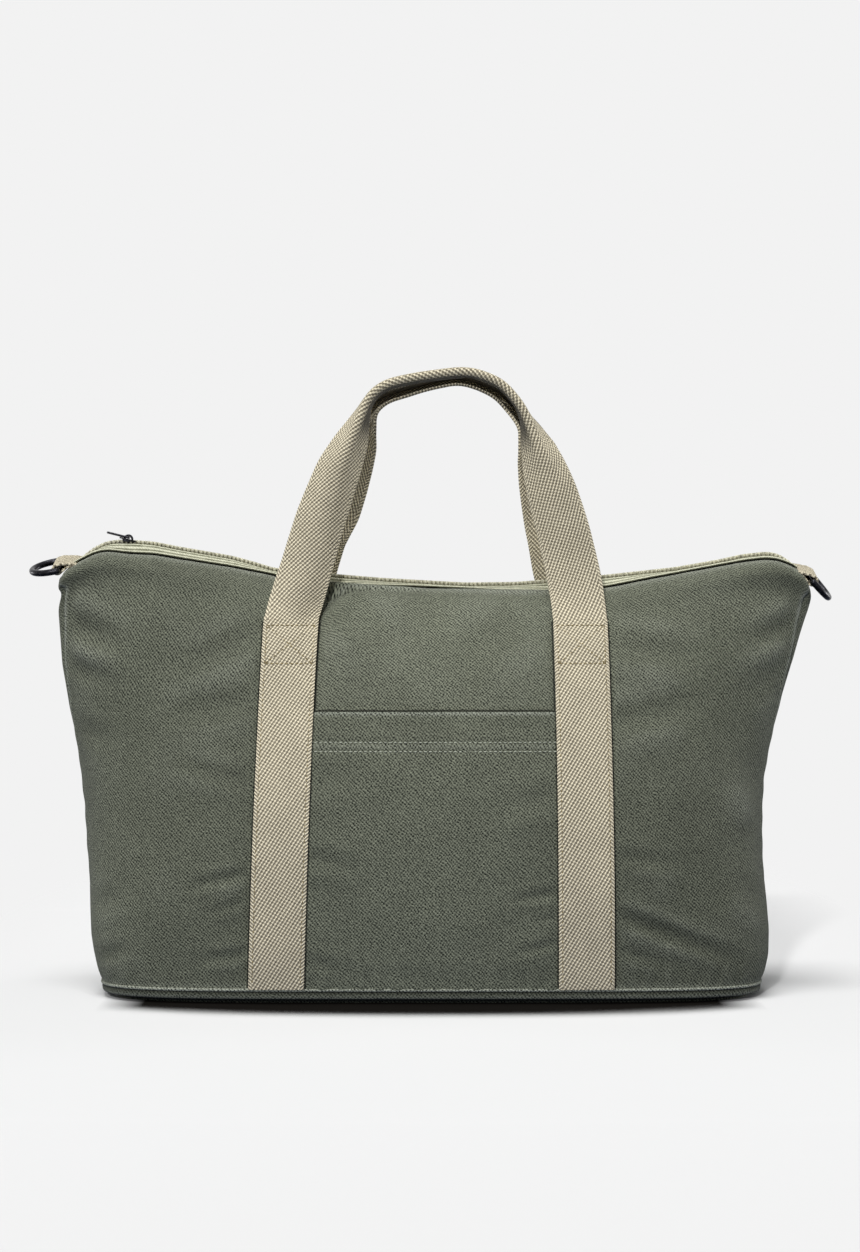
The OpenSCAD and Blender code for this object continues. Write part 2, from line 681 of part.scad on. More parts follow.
base_panel();
base_board();
side_panel();  // front_panel
back() side_panel();  // back_panel
pocket();  // front_pocket
lower_strap(-1);  // front_strap_left
lower_strap(1);  // front_strap_right
back() lower_strap(-1);  // back_strap_left
back() lower_strap(1);  // back_strap_right
zip_end(-1);  // zip_end_left
zip_end(1);  // zip_end_right
tab(-1);  // tab_left
tab(1);  // tab_right
mouth_panel();  // front_mouth
mouth_tape();  // front_zip_tape
mouth_teeth(0);  // front_zip_teeth
sewn_strap(-1);  // front_sewn_strap_left
sewn_strap(1);  // front_sewn_strap_right
back() mouth_panel();  // back_mouth
back() mouth_tape();  // back_zip_tape
back() mouth_teeth(tooth_pitch / 2);  // back_zip_teeth
back() sewn_strap(-1);  // back_sewn_strap_left
back() sewn_strap(1);  // back_sewn_strap_right
handle();  // front_handle
back() handle();  // back_handle
slider_body();
slider_pull();
d_ring(-1);  // d_ring_left
d_ring(1);  // d_ring_right
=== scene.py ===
"""Looks of a canvas weekender bag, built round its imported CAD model.

Every object is in metres in the CAD's frame: +X to the right, -Y the front, +Z up, and the origin
on the floor under the middle of the base. Sizes in the classes below are millimetres.
"""

import json
import logging
import math
from collections.abc import Iterator
from contextlib import contextmanager
from dataclasses import dataclass, field, replace
from enum import Enum

import bpy
import numpy as np
from mathutils import Matrix, Vector


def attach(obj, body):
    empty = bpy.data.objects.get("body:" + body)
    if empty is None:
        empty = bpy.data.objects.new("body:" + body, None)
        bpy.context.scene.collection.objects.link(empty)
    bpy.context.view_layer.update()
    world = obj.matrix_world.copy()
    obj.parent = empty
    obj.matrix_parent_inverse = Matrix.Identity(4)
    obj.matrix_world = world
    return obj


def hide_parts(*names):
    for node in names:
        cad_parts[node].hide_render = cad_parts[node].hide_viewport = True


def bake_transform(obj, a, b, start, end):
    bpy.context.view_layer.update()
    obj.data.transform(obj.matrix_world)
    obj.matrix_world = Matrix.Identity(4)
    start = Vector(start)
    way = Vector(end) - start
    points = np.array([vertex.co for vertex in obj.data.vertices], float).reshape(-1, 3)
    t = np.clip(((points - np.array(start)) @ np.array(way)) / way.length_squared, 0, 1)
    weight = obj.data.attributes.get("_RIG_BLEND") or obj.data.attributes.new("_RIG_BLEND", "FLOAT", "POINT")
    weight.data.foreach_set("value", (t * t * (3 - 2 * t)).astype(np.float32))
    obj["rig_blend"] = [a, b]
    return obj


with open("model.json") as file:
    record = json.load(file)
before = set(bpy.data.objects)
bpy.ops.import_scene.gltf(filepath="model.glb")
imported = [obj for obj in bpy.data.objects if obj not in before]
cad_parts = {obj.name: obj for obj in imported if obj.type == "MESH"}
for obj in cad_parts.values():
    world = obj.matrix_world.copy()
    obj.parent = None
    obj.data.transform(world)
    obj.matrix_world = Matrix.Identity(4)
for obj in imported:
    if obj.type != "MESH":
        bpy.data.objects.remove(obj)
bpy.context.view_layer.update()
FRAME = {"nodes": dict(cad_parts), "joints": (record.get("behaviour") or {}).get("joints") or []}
LOG = logging.getLogger("weekender")
MM = 0.001
# Places on the canvas within this distance of a sewn edge know how near it is, in millimetres, for the
# painted shade beside it
NEAR = 10.0
# Value of that nearness in the middle of the painted shade line beside the edge
SHADE_LINE = NEAR - 0.6
# Setting and output of a Mix node that mixes colours
COLOURS = {"data_type": "RGBA", "out": 2}
# Height under which a point counts as lying on the ground, in metres
GROUND = 1e-5


# ---------------------------------------------------------------- numbers and curves


def smooth(value: np.ndarray) -> np.ndarray:
    """Eases a value from 0 to 1 with level ends, and holds it outside."""
    held = np.clip(value, 0.0, 1.0)
    return held * held * (3.0 - 2.0 * held)


def band(value: np.ndarray, low: float, high: float, soft: float) -> np.ndarray:
    """Gives 1 between two limits and 0 outside them.

    Args:
        value: Places to look at.
        low: Lower limit, where the result is a half.
        high: Upper limit, where the result is a half.
        soft: Width of each change.

    Returns:
        The share at each place.
    """
    return smooth((value - low) / soft + 0.5) * smooth((high - value) / soft + 0.5)


def bump(value: np.ndarray, middle: float, width: float) -> np.ndarray:
    """Gives a round bump of height 1 about a middle."""
    return np.exp(-(((value - middle) / width) ** 2))


@dataclass(frozen=True)
class Curve:
    """A smooth curve along a table of places and values.

    Attributes:
        points: Pairs of place and value, in rising order of place.
        blur: How far the corners of the table are rounded, to each side.
    """

    points: tuple[tuple[float, float], ...]
    blur: float = 6.0

    def __call__(self, place: np.ndarray) -> np.ndarray:
        """Reads the curve.

        Args:
            place: Places along it.

        Returns:
            Its value at each place.
        """
        places, values = zip(*self.points)
        offsets = np.linspace(-1.0, 1.0, 13)
        weights = 1.0 - offsets**2
        beside = np.asarray(place, float)[..., None] + offsets * self.blur
        return np.interp(beside, places, values) @ weights / weights.sum()


@dataclass(frozen=True)
class Cloud:
    """Smooth noise over a plane, the same on every run.

    Attributes:
        seed: Number that picks the noise.
        size: Distance between its random values.
    """

    seed: int
    size: float

    def __call__(self, u: np.ndarray, v: np.ndarray) -> np.ndarray:
        """Reads the noise.

        Args:
            u: Places in the plane's first direction.
            v: Places in its second direction.

        Returns:
            A value from -1 to 1 at each point.
        """
        count = 128
        values = np.random.default_rng(self.seed).uniform(-1, 1, (count, count))
        a, b = np.broadcast_arrays(np.asarray(u, float) / self.size, np.asarray(v, float) / self.size)
        i, j = np.floor(a).astype(int), np.floor(b).astype(int)
        f, g = smooth(a - i), smooth(b - j)
        i0, i1, j0, j1 = i % count, (i + 1) % count, j % count, (j + 1) % count
        low = values[i0, j0] * (1 - f) + values[i1, j0] * f
        high = values[i0, j1] * (1 - f) + values[i1, j1] * f
        return low * (1 - g) + high * g


def lengths_along(points: np.ndarray) -> np.ndarray:
    """Returns the length from the first point to each point of a line."""
    steps = np.linalg.norm(np.diff(points, axis=0), axis=1)
    return np.concatenate([[0.0], np.cumsum(steps)])


def even_steps(points: np.ndarray, count: int) -> np.ndarray:
    """Places points evenly along a line.

    Args:
        points: The line's points, close together.
        count: Number of points wanted.

    Returns:
        The new points, from the first to the last of the line.
    """
    reach = lengths_along(points)
    wanted = np.linspace(0.0, reach[-1], count)
    return np.stack([np.interp(wanted, reach, points[:, k]) for k in range(points.shape[1])], axis=1)


def unit(vectors: np.ndarray) -> np.ndarray:
    """Scales each vector to length 1."""
    return vectors / np.maximum(np.linalg.norm(vectors, axis=-1, keepdims=True), 1e-9)


# ---------------------------------------------------------------- meshes


def only(piece: bpy.types.Object) -> None:
    """Selects one object alone and makes it active.

    Args:
        piece: The object.
    """
    bpy.ops.object.select_all(action="DESELECT")
    piece.select_set(True)
    bpy.context.view_layer.objects.active = piece


def shape_with(piece: bpy.types.Object, kind: str, **settings: object) -> None:
    """Adds a modifier with its settings and applies it.

    Args:
        piece: Object to shape.
        kind: Blender's name of the modifier.
        **settings: Values of the modifier's properties.
    """
    only(piece)
    modifier = piece.modifiers.new(kind.title(), kind)
    for name, value in settings.items():
        setattr(modifier, name, value)
    bpy.ops.object.modifier_apply(modifier=modifier.name)


def soften_sides(strip: bpy.types.Object, across: np.ndarray, half: float, width: float) -> None:
    """Rounds the long edges of a solid strip, and leaves its cut ends square.

    Args:
        strip: Strip whose grid has just been given its thickness.
        across: Place of each point of the grid across the strip.
        half: Half the width of the strip.
        width: Width of the rounding.
    """
    across = across.copy()
    across[[0, -1]] = 0.0
    every = np.tile(across.ravel(), len(strip.data.vertices) // across.size)
    group = strip.vertex_groups.new(name="sides")
    group.add([int(k) for k in np.flatnonzero(np.abs(every) > half - 0.01)], 1.0, "REPLACE")
    shape_with(strip, "BEVEL", width=width * MM, segments=2, limit_method="VGROUP", vertex_group="sides")
    strip.vertex_groups.clear()


def cloth_grid(name: str, points: np.ndarray, flat: np.ndarray) -> bpy.types.Object:
    """Makes a sheet of cloth from a grid laid over a surface.

    Args:
        name: Name of the piece.
        points: Rows of columns of points, in millimetres.
        flat: The same points on the flat cloth, in millimetres, for its weave.

    Returns:
        The sheet, with its flat shape as its UV map, in metres.
    """
    rows, columns = points.shape[0] - 1, points.shape[1] - 1
    bpy.ops.object.select_all(action="DESELECT")
    bpy.ops.mesh.primitive_grid_add(x_subdivisions=columns, y_subdivisions=rows, size=2)
    piece = bpy.context.object
    piece.name = piece.data.name = name
    mesh = piece.data
    placed = np.empty(len(mesh.vertices) * 3)
    mesh.vertices.foreach_get("co", placed)
    placed = placed.reshape(-1, 3)
    column = np.rint((placed[:, 0] + 1) / 2 * columns).astype(int)
    row = np.rint((placed[:, 1] + 1) / 2 * rows).astype(int)
    mesh.vertices.foreach_set("co", (points[row, column] * MM).ravel())
    corners = np.empty(len(mesh.loops), int)
    mesh.loops.foreach_get("vertex_index", corners)
    mesh.uv_layers[0].data.foreach_set("uv", (flat[row, column][corners] * MM).ravel())
    mesh.update()
    return piece


def copies(name: str, model: bpy.types.Object, places: np.ndarray, turns: np.ndarray) -> bpy.types.Object:
    """Makes one mesh of many copies of a small model, and removes the model.

    Args:
        name: Name of the piece.
        model: The small model, in metres about the origin.
        places: A place for each copy, in millimetres.
        turns: A 3 by 3 matrix for each copy, whose columns are its axes.

    Returns:
        The new piece.
    """
    mesh = model.data
    corner = np.array([v.co for v in mesh.vertices])
    faces = [tuple(p.vertices) for p in mesh.polygons]
    points = np.einsum("kab,nb->kna", turns, corner) + places[:, None, :] * MM
    count = len(corner)
    made = bpy.data.meshes.new(name)
    every = [tuple(v + k * count for v in face) for k in range(len(places)) for face in faces]
    made.from_pydata(points.reshape(-1, 3).tolist(), [], every)
    piece = bpy.data.objects.new(name, made)
    bpy.context.scene.collection.objects.link(piece)
    bpy.data.objects.remove(model)
    for polygon in made.polygons:
        polygon.use_smooth = True
    # Each vertex's share of the model's height, which the thread and teeth materials turn into painted light
    # on top and painted shade below
    point_values(piece, "top", np.tile(corner[:, 2] / corner[:, 2].max(), len(places)))
    return piece


def scaling(x: float, y: float, z: float) -> Matrix:
    """Returns a matrix that scales by sizes in millimetres."""
    return Matrix.Diagonal((x * MM, y * MM, z * MM, 1.0))


def axes_of(forward: np.ndarray, up: np.ndarray) -> np.ndarray:
    """Returns matrices whose columns are forward, across and up.

    Args:
        forward: Directions along a path.
        up: Directions away from the surface, roughly square to it.

    Returns:
        One matrix for each direction.
    """
    along = unit(forward)
    across = unit(np.cross(up, along))
    return np.stack([along, across, np.cross(along, across)], axis=-1)


def smooth_shade(piece: bpy.types.Object, degrees: float) -> None:
    """Shades a piece smooth except at edges sharper than an angle."""
    only(piece)
    bpy.ops.object.shade_smooth_by_angle(angle=math.radians(degrees))


@contextmanager
def edit_mode(piece: bpy.types.Object, everything: bool = True) -> Iterator[None]:
    """Opens a piece in edit mode for the tools that are called inside the block.

    Args:
        piece: Piece to edit.
        everything: Whether the whole mesh is selected first.

    Yields:
        Nothing. The piece is back in object mode afterwards.
    """
    only(piece)
    bpy.ops.object.mode_set(mode="EDIT")
    if everything:
        bpy.ops.mesh.select_all(action="SELECT")
    yield
    bpy.ops.object.mode_set(mode="OBJECT")


def join_touching() -> None:
    """Joins selected points that lie in one place, such as the two ends of a closed strip."""
    bpy.ops.mesh.remove_doubles(threshold=0.02 * MM)


def face_outwards() -> None:
    """Turns the selected faces' outsides outwards."""
    bpy.ops.mesh.normals_make_consistent(inside=False)


def point_values(piece: bpy.types.Object, name: str, values: np.ndarray) -> None:
    """Stores a number for each vertex of a piece under a name."""
    layer = piece.data.attributes.get(name) or piece.data.attributes.new(name, "FLOAT", "POINT")
    layer.data.foreach_set("value", values.astype(np.float32))


def vertex_places(piece: bpy.types.Object) -> np.ndarray:
    """Reads where a piece's vertices are.

    Args:
        piece: The piece.

    Returns:
        Their places, in millimetres.
    """
    placed = np.empty(len(piece.data.vertices) * 3)
    piece.data.vertices.foreach_get("co", placed)
    return placed.reshape(-1, 3) / MM


# ---------------------------------------------------------------- materials


def colour(code: str) -> tuple[float, float, float, float]:
    """Turns an sRGB hex colour to linear values."""
    parts = [int(code[k : k + 2], 16) / 255 for k in (1, 3, 5)]
    return (*[c / 12.92 if c <= 0.04045 else ((c + 0.055) / 1.055) ** 2.4 for c in parts], 1.0)


def add(
    tree: bpy.types.NodeTree, kind: str, inputs: dict | None = None, out: int | str = 0, **settings: object
) -> bpy.types.NodeSocket:
    """Adds a node with its settings, values and links.

    Args:
        tree: Node tree of the material or the world.
        kind: Blender's name of the node's type, after "ShaderNode".
        inputs: A value, or another node's output, for each input by name or number.
        out: Name or number of the output to return.
        **settings: Values of the node's properties.

    Returns:
        The new node's output.
    """
    made = tree.nodes.new(f"ShaderNode{kind}")
    for name, value in settings.items():
        setattr(made, name, value)
    for name, value in (inputs or {}).items():
        if isinstance(value, bpy.types.NodeSocket):
            tree.links.new(value, made.inputs[name])
        else:
            made.inputs[name].default_value = value
    return made.outputs[out]


def weighted(tree: bpy.types.NodeTree, *parts: tuple[object, float]) -> bpy.types.NodeSocket:
    """Adds up numbers, each times its own weight.

    Args:
        tree: Node tree of the material.
        *parts: Pairs of a number and its weight.

    Returns:
        The sum.
    """
    total: object = 0.0
    for value, weight in parts:
        total = add(tree, "Math", {0: value, 1: weight, 2: total}, operation="MULTIPLY_ADD")
    return total


def ripple(tree: bpy.types.NodeTree, value: object, pitch: float) -> bpy.types.NodeSocket:
    """Makes a wave from 0 to 1.

    Args:
        tree: Node tree of the material.
        value: Place along the wave, in millimetres.
        pitch: Distance between its crests.

    Returns:
        The wave's height.
    """
    turn = add(tree, "Math", {0: value, 1: 2 * math.pi / pitch}, operation="MULTIPLY")
    return weighted(tree, (add(tree, "Math", {0: turn}, operation="SINE"), 0.5), (0.5, 1.0))


def flat_millimetres(tree: bpy.types.NodeTree) -> tuple[bpy.types.NodeSocket, ...]:
    """Finds the place on the flat cloth, in millimetres.

    Args:
        tree: Node tree of the material.

    Returns:
        The two lengths on the cloth, and both as one place.
    """
    place = {0: add(tree, "UVMap"), "Scale": 1000.0}
    first = add(tree, "SeparateXYZ", {0: add(tree, "VectorMath", place, operation="SCALE")})
    second = first.node.outputs[1]
    return first, second, add(tree, "CombineXYZ", {0: first, 1: second})


def new_material(name: str) -> tuple[bpy.types.Material, bpy.types.NodeTree]:
    """Makes a material with a Principled shader.

    Args:
        name: Name of the material.

    Returns:
        The material and its node tree.
    """
    material = bpy.data.materials.new(name)
    material.use_nodes = True
    return material, material.node_tree


def surface(
    material: bpy.types.Material, base: bpy.types.NodeSocket, relief: tuple | None, plain: dict[str, float]
) -> bpy.types.Material:
    """Gives a material's shader its colour, its relief and its plain values.

    Args:
        material: Material to finish.
        base: Its colour.
        relief: Height of its surface, the strength of the relief and its depth in metres.
        plain: Values of the shader's other sockets, by name.

    Returns:
        The material.
    """
    tree = material.node_tree
    sockets = tree.nodes["Principled BSDF"].inputs
    tree.links.new(base, sockets["Base Color"])
    if relief:
        bump_inputs = dict(zip(("Height", "Strength", "Distance"), relief))
        tree.links.new(add(tree, "Bump", bump_inputs), sockets["Normal"])
    for name, value in plain.items():
        sockets[name].default_value = value
    return material


@dataclass(frozen=True)
class CanvasFinish:
    """Washed cotton canvas in a twill weave: matte, slubby, with dark gaps between pale yarns.

    Attributes:
        name: Name of the material.
        yarn: Colour of the top of a yarn.
        gap: Colour between the yarns.
        worn: Colour where the cloth is rubbed, at folds and hems.
        dip: Colour of the painted shade line along a strap's edge, where the cloth is drawn under it, and
            above the pocket's mouth and in the base tray's recess.
        pitch: Distance between the drawn yarns, twice the real one so that the weave shows.
        roughness: Roughness of the cloth.
    """

    name: str = "washed_canvas"
    yarn: str = "#8f9380"
    gap: str = "#1c201a"
    worn: str = "#b9bdaf"
    dip: str = "#0d0f0c"
    pitch: float = 1.9
    roughness: float = 0.92

    def make(self) -> bpy.types.Material:
        """Builds the material.

        Returns:
            The material.
        """
        material, tree = new_material(self.name)
        across, along, point = flat_millimetres(tree)
        # Two sets of yarns cross, and neither runs quite straight
        wander = add(tree, "TexNoise", {"Vector": point, "Scale": 0.16, "Detail": 1.0})
        falling = ripple(tree, weighted(tree, (across, 0.71), (along, 0.71), (wander, 3.0)), self.pitch)
        rising = ripple(tree, weighted(tree, (across, 0.8), (along, -0.6), (wander, 3.0)), self.pitch * 0.9)
        grain = add(tree, "TexNoise", {"Vector": point, "Scale": 0.85, "Detail": 1.0})
        fluff = add(tree, "TexNoise", {"Vector": point, "Scale": 0.22, "Detail": 2.0})
        speckle = add(tree, "MapRange", {0: grain, 1: 0.34, 2: 0.66})
        twill = weighted(tree, (falling, 0.6), (rising, 0.4))
        weave = weighted(tree, (twill, 0.7), (speckle, 0.45), (fluff, 0.3))
        share = add(tree, "MapRange", {0: weave, 1: 0.32, 2: 1.14})
        dyed = add(tree, "Mix", {0: share, 6: colour(self.gap), 7: colour(self.yarn)}, **COLOURS)
        # The dye is uneven at random; on top of that, painted light and shade draw the cloth paler in the
        # middle and darker towards the sides, most at the lower right
        fade = add(tree, "TexNoise", {"Vector": point, "Scale": 0.03, "Detail": 2.0})
        even = add(tree, "MapRange", {0: fade, 1: 0.3, 2: 0.7, 3: 0.93, 4: 1.06})
        wash = add(tree, "Attribute", out="Fac", attribute_name="wash")
        even = add(tree, "Math", {0: even, 1: wash, 2: even}, operation="MULTIPLY_ADD")
        toned = add(tree, "HueSaturation", {"Value": even, "Color": dyed})
        wear = add(tree, "Attribute", out="Fac", attribute_name="wear")
        rub = add(tree, "Math", {0: wear, 1: share}, operation="MULTIPLY")
        faced = add(tree, "Mix", {0: rub, 6: toned, 7: colour(self.worn)}, **COLOURS)
        # Painted shade: a dark line stands in for the shadow beside each edge that is sewn down, and for the
        # shade in the base tray's recess
        away: object = 99.0
        for name in ("strap_side", "pocket_mouth_shade"):
            beside = add(tree, "Attribute", out="Fac", attribute_name=name)
            off = add(tree, "Math", {0: beside, 1: SHADE_LINE}, operation="SUBTRACT")
            off = add(tree, "Math", {0: off}, operation="ABSOLUTE")
            away = add(tree, "Math", {0: away, 1: off}, operation="MINIMUM")
        line = add(tree, "MapRange", {0: away, 1: 0.4, 2: 1.0, 3: 0.8, 4: 0.0})
        base = add(tree, "Mix", {0: line, 6: faced, 7: colour(self.dip)}, **COLOURS)
        cotton = {"Roughness": self.roughness, "Sheen Weight": 0.03, "Sheen Roughness": 0.5}
        return surface(material, base, (weave, 0.7, 0.0006), {**cotton, "Specular IOR Level": 0.2})


@dataclass(frozen=True)
class WebbingFinish:
    """Heavy cotton webbing: steep rising lines of oval knots, with dark gaps between them.

    Attributes:
        name: Name of the material.
        knot: Colour of the top of a knot.
        gap: Colour between the knots.
        soiled: Colour of the painted shade on the folded grip's inner half, where the fold turns under.
        across_pitch: Distance between the lines of knots, a fifth over the real one so that they show.
        along_pitch: Distance between the knots along the webbing, in the same proportion.
        half_width: Half the width of the webbing.
        selvedge: Width of the braided edge.
        roughness: Roughness of the cotton.
    """

    name: str = "knotted_webbing"
    knot: str = "#fbf0d2"
    gap: str = "#4c4230"
    soiled: str = "#1f1a12"
    across_pitch: float = 2.6
    along_pitch: float = 2.4
    half_width: float = 19.0
    selvedge: float = 2.2
    roughness: float = 0.85

    def make(self) -> bpy.types.Material:
        """Builds the material.

        Returns:
            The material.
        """
        material, tree = new_material(self.name)
        across, along, point = flat_millimetres(tree)
        lines = ripple(tree, weighted(tree, (across, 1.0), (along, -0.62)), self.across_pitch)
        knots = ripple(tree, weighted(tree, (along, 1.0), (across, 0.5)), self.along_pitch)
        body = add(tree, "MapRange", {0: weighted(tree, (lines, 0.62), (knots, 0.38)), 1: 0.3, 2: 0.78})
        # The two edges are braided
        reach = add(tree, "Math", {0: across}, operation="ABSOLUTE")
        edge = add(tree, "Math", {0: reach, 1: self.half_width - self.selvedge}, operation="GREATER_THAN")
        braid = ripple(tree, weighted(tree, (along, 1.0), (reach, -0.8)), self.along_pitch)
        height = add(tree, "Mix", {0: edge, 2: body, 3: braid})
        fuzz = add(tree, "TexNoise", {"Vector": point, "Scale": 0.8, "Detail": 2.0})
        share = add(tree, "MapRange", {0: weighted(tree, (height, 0.85), (fuzz, 0.5)), 1: 0.09, 2: 0.93})
        yarn = add(tree, "Mix", {0: share, 6: colour(self.gap), 7: colour(self.knot)}, **COLOURS)
        fade = add(tree, "TexNoise", {"Vector": point, "Scale": 0.05, "Detail": 2.0})
        even = add(tree, "MapRange", {0: fade, 1: 0.3, 2: 0.7, 3: 0.93, 4: 1.05})
        toned = add(tree, "HueSaturation", {"Value": even, "Color": yarn})
        # Painted shade on the inner half of the folded grip
        dirt_and_shade = add(tree, "Attribute", out="Fac", attribute_name="dirt_and_shade")
        base = add(tree, "Mix", {0: dirt_and_shade, 6: toned, 7: colour(self.soiled)}, **COLOURS)
        cotton = {"Roughness": self.roughness, "Sheen Weight": 0.03, "Specular IOR Level": 0.3}
        return surface(material, base, (height, 0.9, 0.0007), cotton)


@dataclass(frozen=True)
class TapeFinish:
    """Woven polyester zip tape: cords along it, with fine slanted yarns across them.

    Attributes:
        name: Name of the material.
        light: Colour of the yarns.
        dark: Colour between them.
        seam: Colour of the strip that runs down inside the seam: painted shade, near black, in the recess
            under the tape's lip.
        seam_width: Width of that strip.
        cord: Distance between the cords.
        yarn: Distance between the yarns along the tape.
        roughness: Roughness of the yarns.
    """

    name: str = "woven_zip_tape"
    light: str = "#e6e6cb"
    dark: str = "#66674d"
    seam: str = "#12130e"
    seam_width: float = 14.6
    cord: float = 2.7
    yarn: float = 2.1
    roughness: float = 0.75

    def make(self) -> bpy.types.Material:
        """Builds the material.

        Returns:
            The material.
        """
        material, tree = new_material(self.name)
        along, down, point = flat_millimetres(tree)
        cords = ripple(tree, down, self.cord)
        yarns = ripple(tree, weighted(tree, (along, 1.0), (down, 0.9)), self.yarn)
        crossed = add(tree, "Math", {0: cords, 1: yarns}, operation="MULTIPLY")
        height = weighted(tree, (cords, 0.6), (crossed, 0.4))
        dirt_and_shade = add(tree, "TexNoise", {"Vector": point, "Scale": 0.3, "Detail": 2.0})
        share = add(tree, "MapRange", {0: weighted(tree, (height, 0.75), (dirt_and_shade, 0.5)), 1: 0.2, 2: 0.88})
        woven = add(tree, "Mix", {0: share, 6: colour(self.dark), 7: colour(self.light)}, **COLOURS)
        # Painted shade: the strip that runs down into the recess under the lip is drawn near black
        outside = add(tree, "MapRange", {0: down, 1: self.seam_width - 0.5, 2: self.seam_width + 0.5})
        base = add(tree, "Mix", {0: outside, 6: colour(self.seam), 7: woven}, **COLOURS)
        return surface(material, base, (height, 0.8, 0.0006), {"Roughness": self.roughness})


@dataclass(frozen=True)
class SpunFinish:
    """A small spun or moulded thing, such as a thread or a tooth: one colour with soiled spots, painted light
    on its top and painted shade lower down.

    Attributes:
        name: Name of the material.
        light: Its colour.
        dark: Its colour where it is soiled, and in the painted shade on its lower part.
        roughness: Its roughness.
    """

    name: str
    light: str
    dark: str
    roughness: float = 0.8

    def make(self) -> bpy.types.Material:
        """Builds the material.

        Returns:
            The material.
        """
        material, tree = new_material(self.name)
        place = add(tree, "TexCoord", out="Object")
        dirt_and_shade = add(tree, "TexNoise", {"Vector": place, "Scale": 500.0, "Detail": 2.0})
        # Painted light on the top of each tooth or stitch, and painted shade on its lower part
        top = add(tree, "Attribute", out="Fac", attribute_name="top")
        clean = add(tree, "MapRange", {0: dirt_and_shade, 1: 0.3, 2: 0.6, 3: 0.4})
        lit = add(tree, "MapRange", {0: top, 1: -0.9, 2: 0.7, 3: 0.2})
        share = add(tree, "Math", {0: clean, 1: lit}, operation="MULTIPLY")
        base = add(tree, "Mix", {0: share, 6: colour(self.dark), 7: colour(self.light)}, **COLOURS)
        return surface(material, base, (dirt_and_shade, 0.3, 0.0003), {"Roughness": self.roughness})


@dataclass(frozen=True)
class MetalFinish:
    """Zinc cast and plated gunmetal: nearly black, polished, with faint handling marks.

    Attributes:
        name: Name of the material.
        plate: Colour of the plating.
        rubbed: Colour where the plating is worn.
        roughness: Roughness of the plating.
    """

    name: str = "gunmetal_plate"
    plate: str = "#232326"
    rubbed: str = "#4a4a4e"
    roughness: float = 0.28

    def make(self) -> bpy.types.Material:
        """Builds the material.

        Returns:
            The material.
        """
        material, tree = new_material(self.name)
        place = add(tree, "TexCoord", out="Object")
        marks = add(tree, "TexNoise", {"Vector": place, "Scale": 420.0, "Detail": 3.0})
        worn = add(tree, "MapRange", {0: marks, 1: 0.55, 2: 0.75})
        base = add(tree, "Mix", {0: worn, 6: colour(self.plate), 7: colour(self.rubbed)}, **COLOURS)
        rough = add(tree, "MapRange", {0: marks, 3: self.roughness - 0.08, 4: self.roughness + 0.14})
        tree.links.new(rough, tree.nodes["Principled BSDF"].inputs["Roughness"])
        return surface(material, base, None, {"Metallic": 1.0})


@dataclass(frozen=True)
class BoardFinish:
    """Pressed fibre board: dull, speckled with fibres.

    Attributes:
        name: Name of the material.
        light: Colour of the fibres.
        dark: Colour of the pulp.
        roughness: Roughness of the board.
    """

    name: str = "fibre_board"
    light: str = "#55504a"
    dark: str = "#37342f"
    roughness: float = 0.9

    def make(self) -> bpy.types.Material:
        """Builds the material.

        Returns:
            The material.
        """
        material, tree = new_material(self.name)
        place = add(tree, "TexCoord", out="Object")
        fibres = add(tree, "TexNoise", {"Vector": place, "Scale": 300.0, "Detail": 4.0})
        base = add(tree, "Mix", {0: fibres, 6: colour(self.dark), 7: colour(self.light)}, **COLOURS)
        return surface(material, base, (fibres, 0.2, 0.0004), {"Roughness": self.roughness})


TEETH = SpunFinish("moulded_teeth", "#e2dfc6", "#4a4834", 0.5)
WEB_THREAD = SpunFinish("ecru_thread", "#94845a", "#4a4026")
CANVAS_THREAD = SpunFinish("olive_thread", "#bcc0b0", "#7d8173")


@dataclass
class Wardrobe:
    """All the materials of the bag, made once.

    Attributes:
        canvas: Cloth of the bag, its pocket and its base.
        webbing: Cloth of the straps, the handles and the ring tabs.
        tape: Cloth of the zip.
        teeth: The zip's teeth.
        web_thread: Thread in the webbing.
        canvas_thread: Thread in the pocket.
        metal: The rings and the slider.
        board: The stiff sheet in the base.
    """

    canvas: bpy.types.Material = field(default_factory=CanvasFinish().make)
    webbing: bpy.types.Material = field(default_factory=WebbingFinish().make)
    tape: bpy.types.Material = field(default_factory=TapeFinish().make)
    teeth: bpy.types.Material = field(default_factory=TEETH.make)
    web_thread: bpy.types.Material = field(default_factory=WEB_THREAD.make)
    canvas_thread: bpy.types.Material = field(default_factory=CANVAS_THREAD.make)
    metal: bpy.types.Material = field(default_factory=MetalFinish().make)
    board: bpy.types.Material = field(default_factory=BoardFinish().make)


def dress(piece: bpy.types.Object, material: bpy.types.Material) -> None:
    """Gives a piece its material.

    Args:
        piece: The piece.
        material: Its material.
    """
    piece.data.materials.clear()
    piece.data.materials.append(material)


# ---------------------------------------------------------------- the bag's form


class Face(Enum):
    """The two long faces of the bag, with the sign of their depth."""

    FRONT = 1
    BACK = -1

    @property
    def word(self) -> str:
        """The face's word in the names of nodes."""
        return self.name.lower()

    @property
    def mouth(self) -> str:
        """The body of the face's mouth panel."""
        return f"mouth_{self.word}"

    @property
    def handle(self) -> str:
        """The body of the face's handle."""
        return f"handle_{self.word}"

    def order(self, grid: np.ndarray) -> np.ndarray:
        """Orders a grid made for the front as this face needs it, so that its outside stays outwards."""
        return grid if self is Face.FRONT else grid[:, ::-1]

    def turn(self, points: np.ndarray) -> np.ndarray:
        """Moves a grid of points from the front to this face."""
        return self.order(self.carry(points))

    def turn_flat(self, flat: np.ndarray) -> np.ndarray:
        """Turns a grid of places on the flat cloth in the same way."""
        return self.order(flat) * np.array([float(self.value), 1.0])

    def carry(self, points: np.ndarray) -> np.ndarray:
        """Moves single points or directions from the front to this face."""
        return points * np.array([1.0, float(self.value), 1.0])


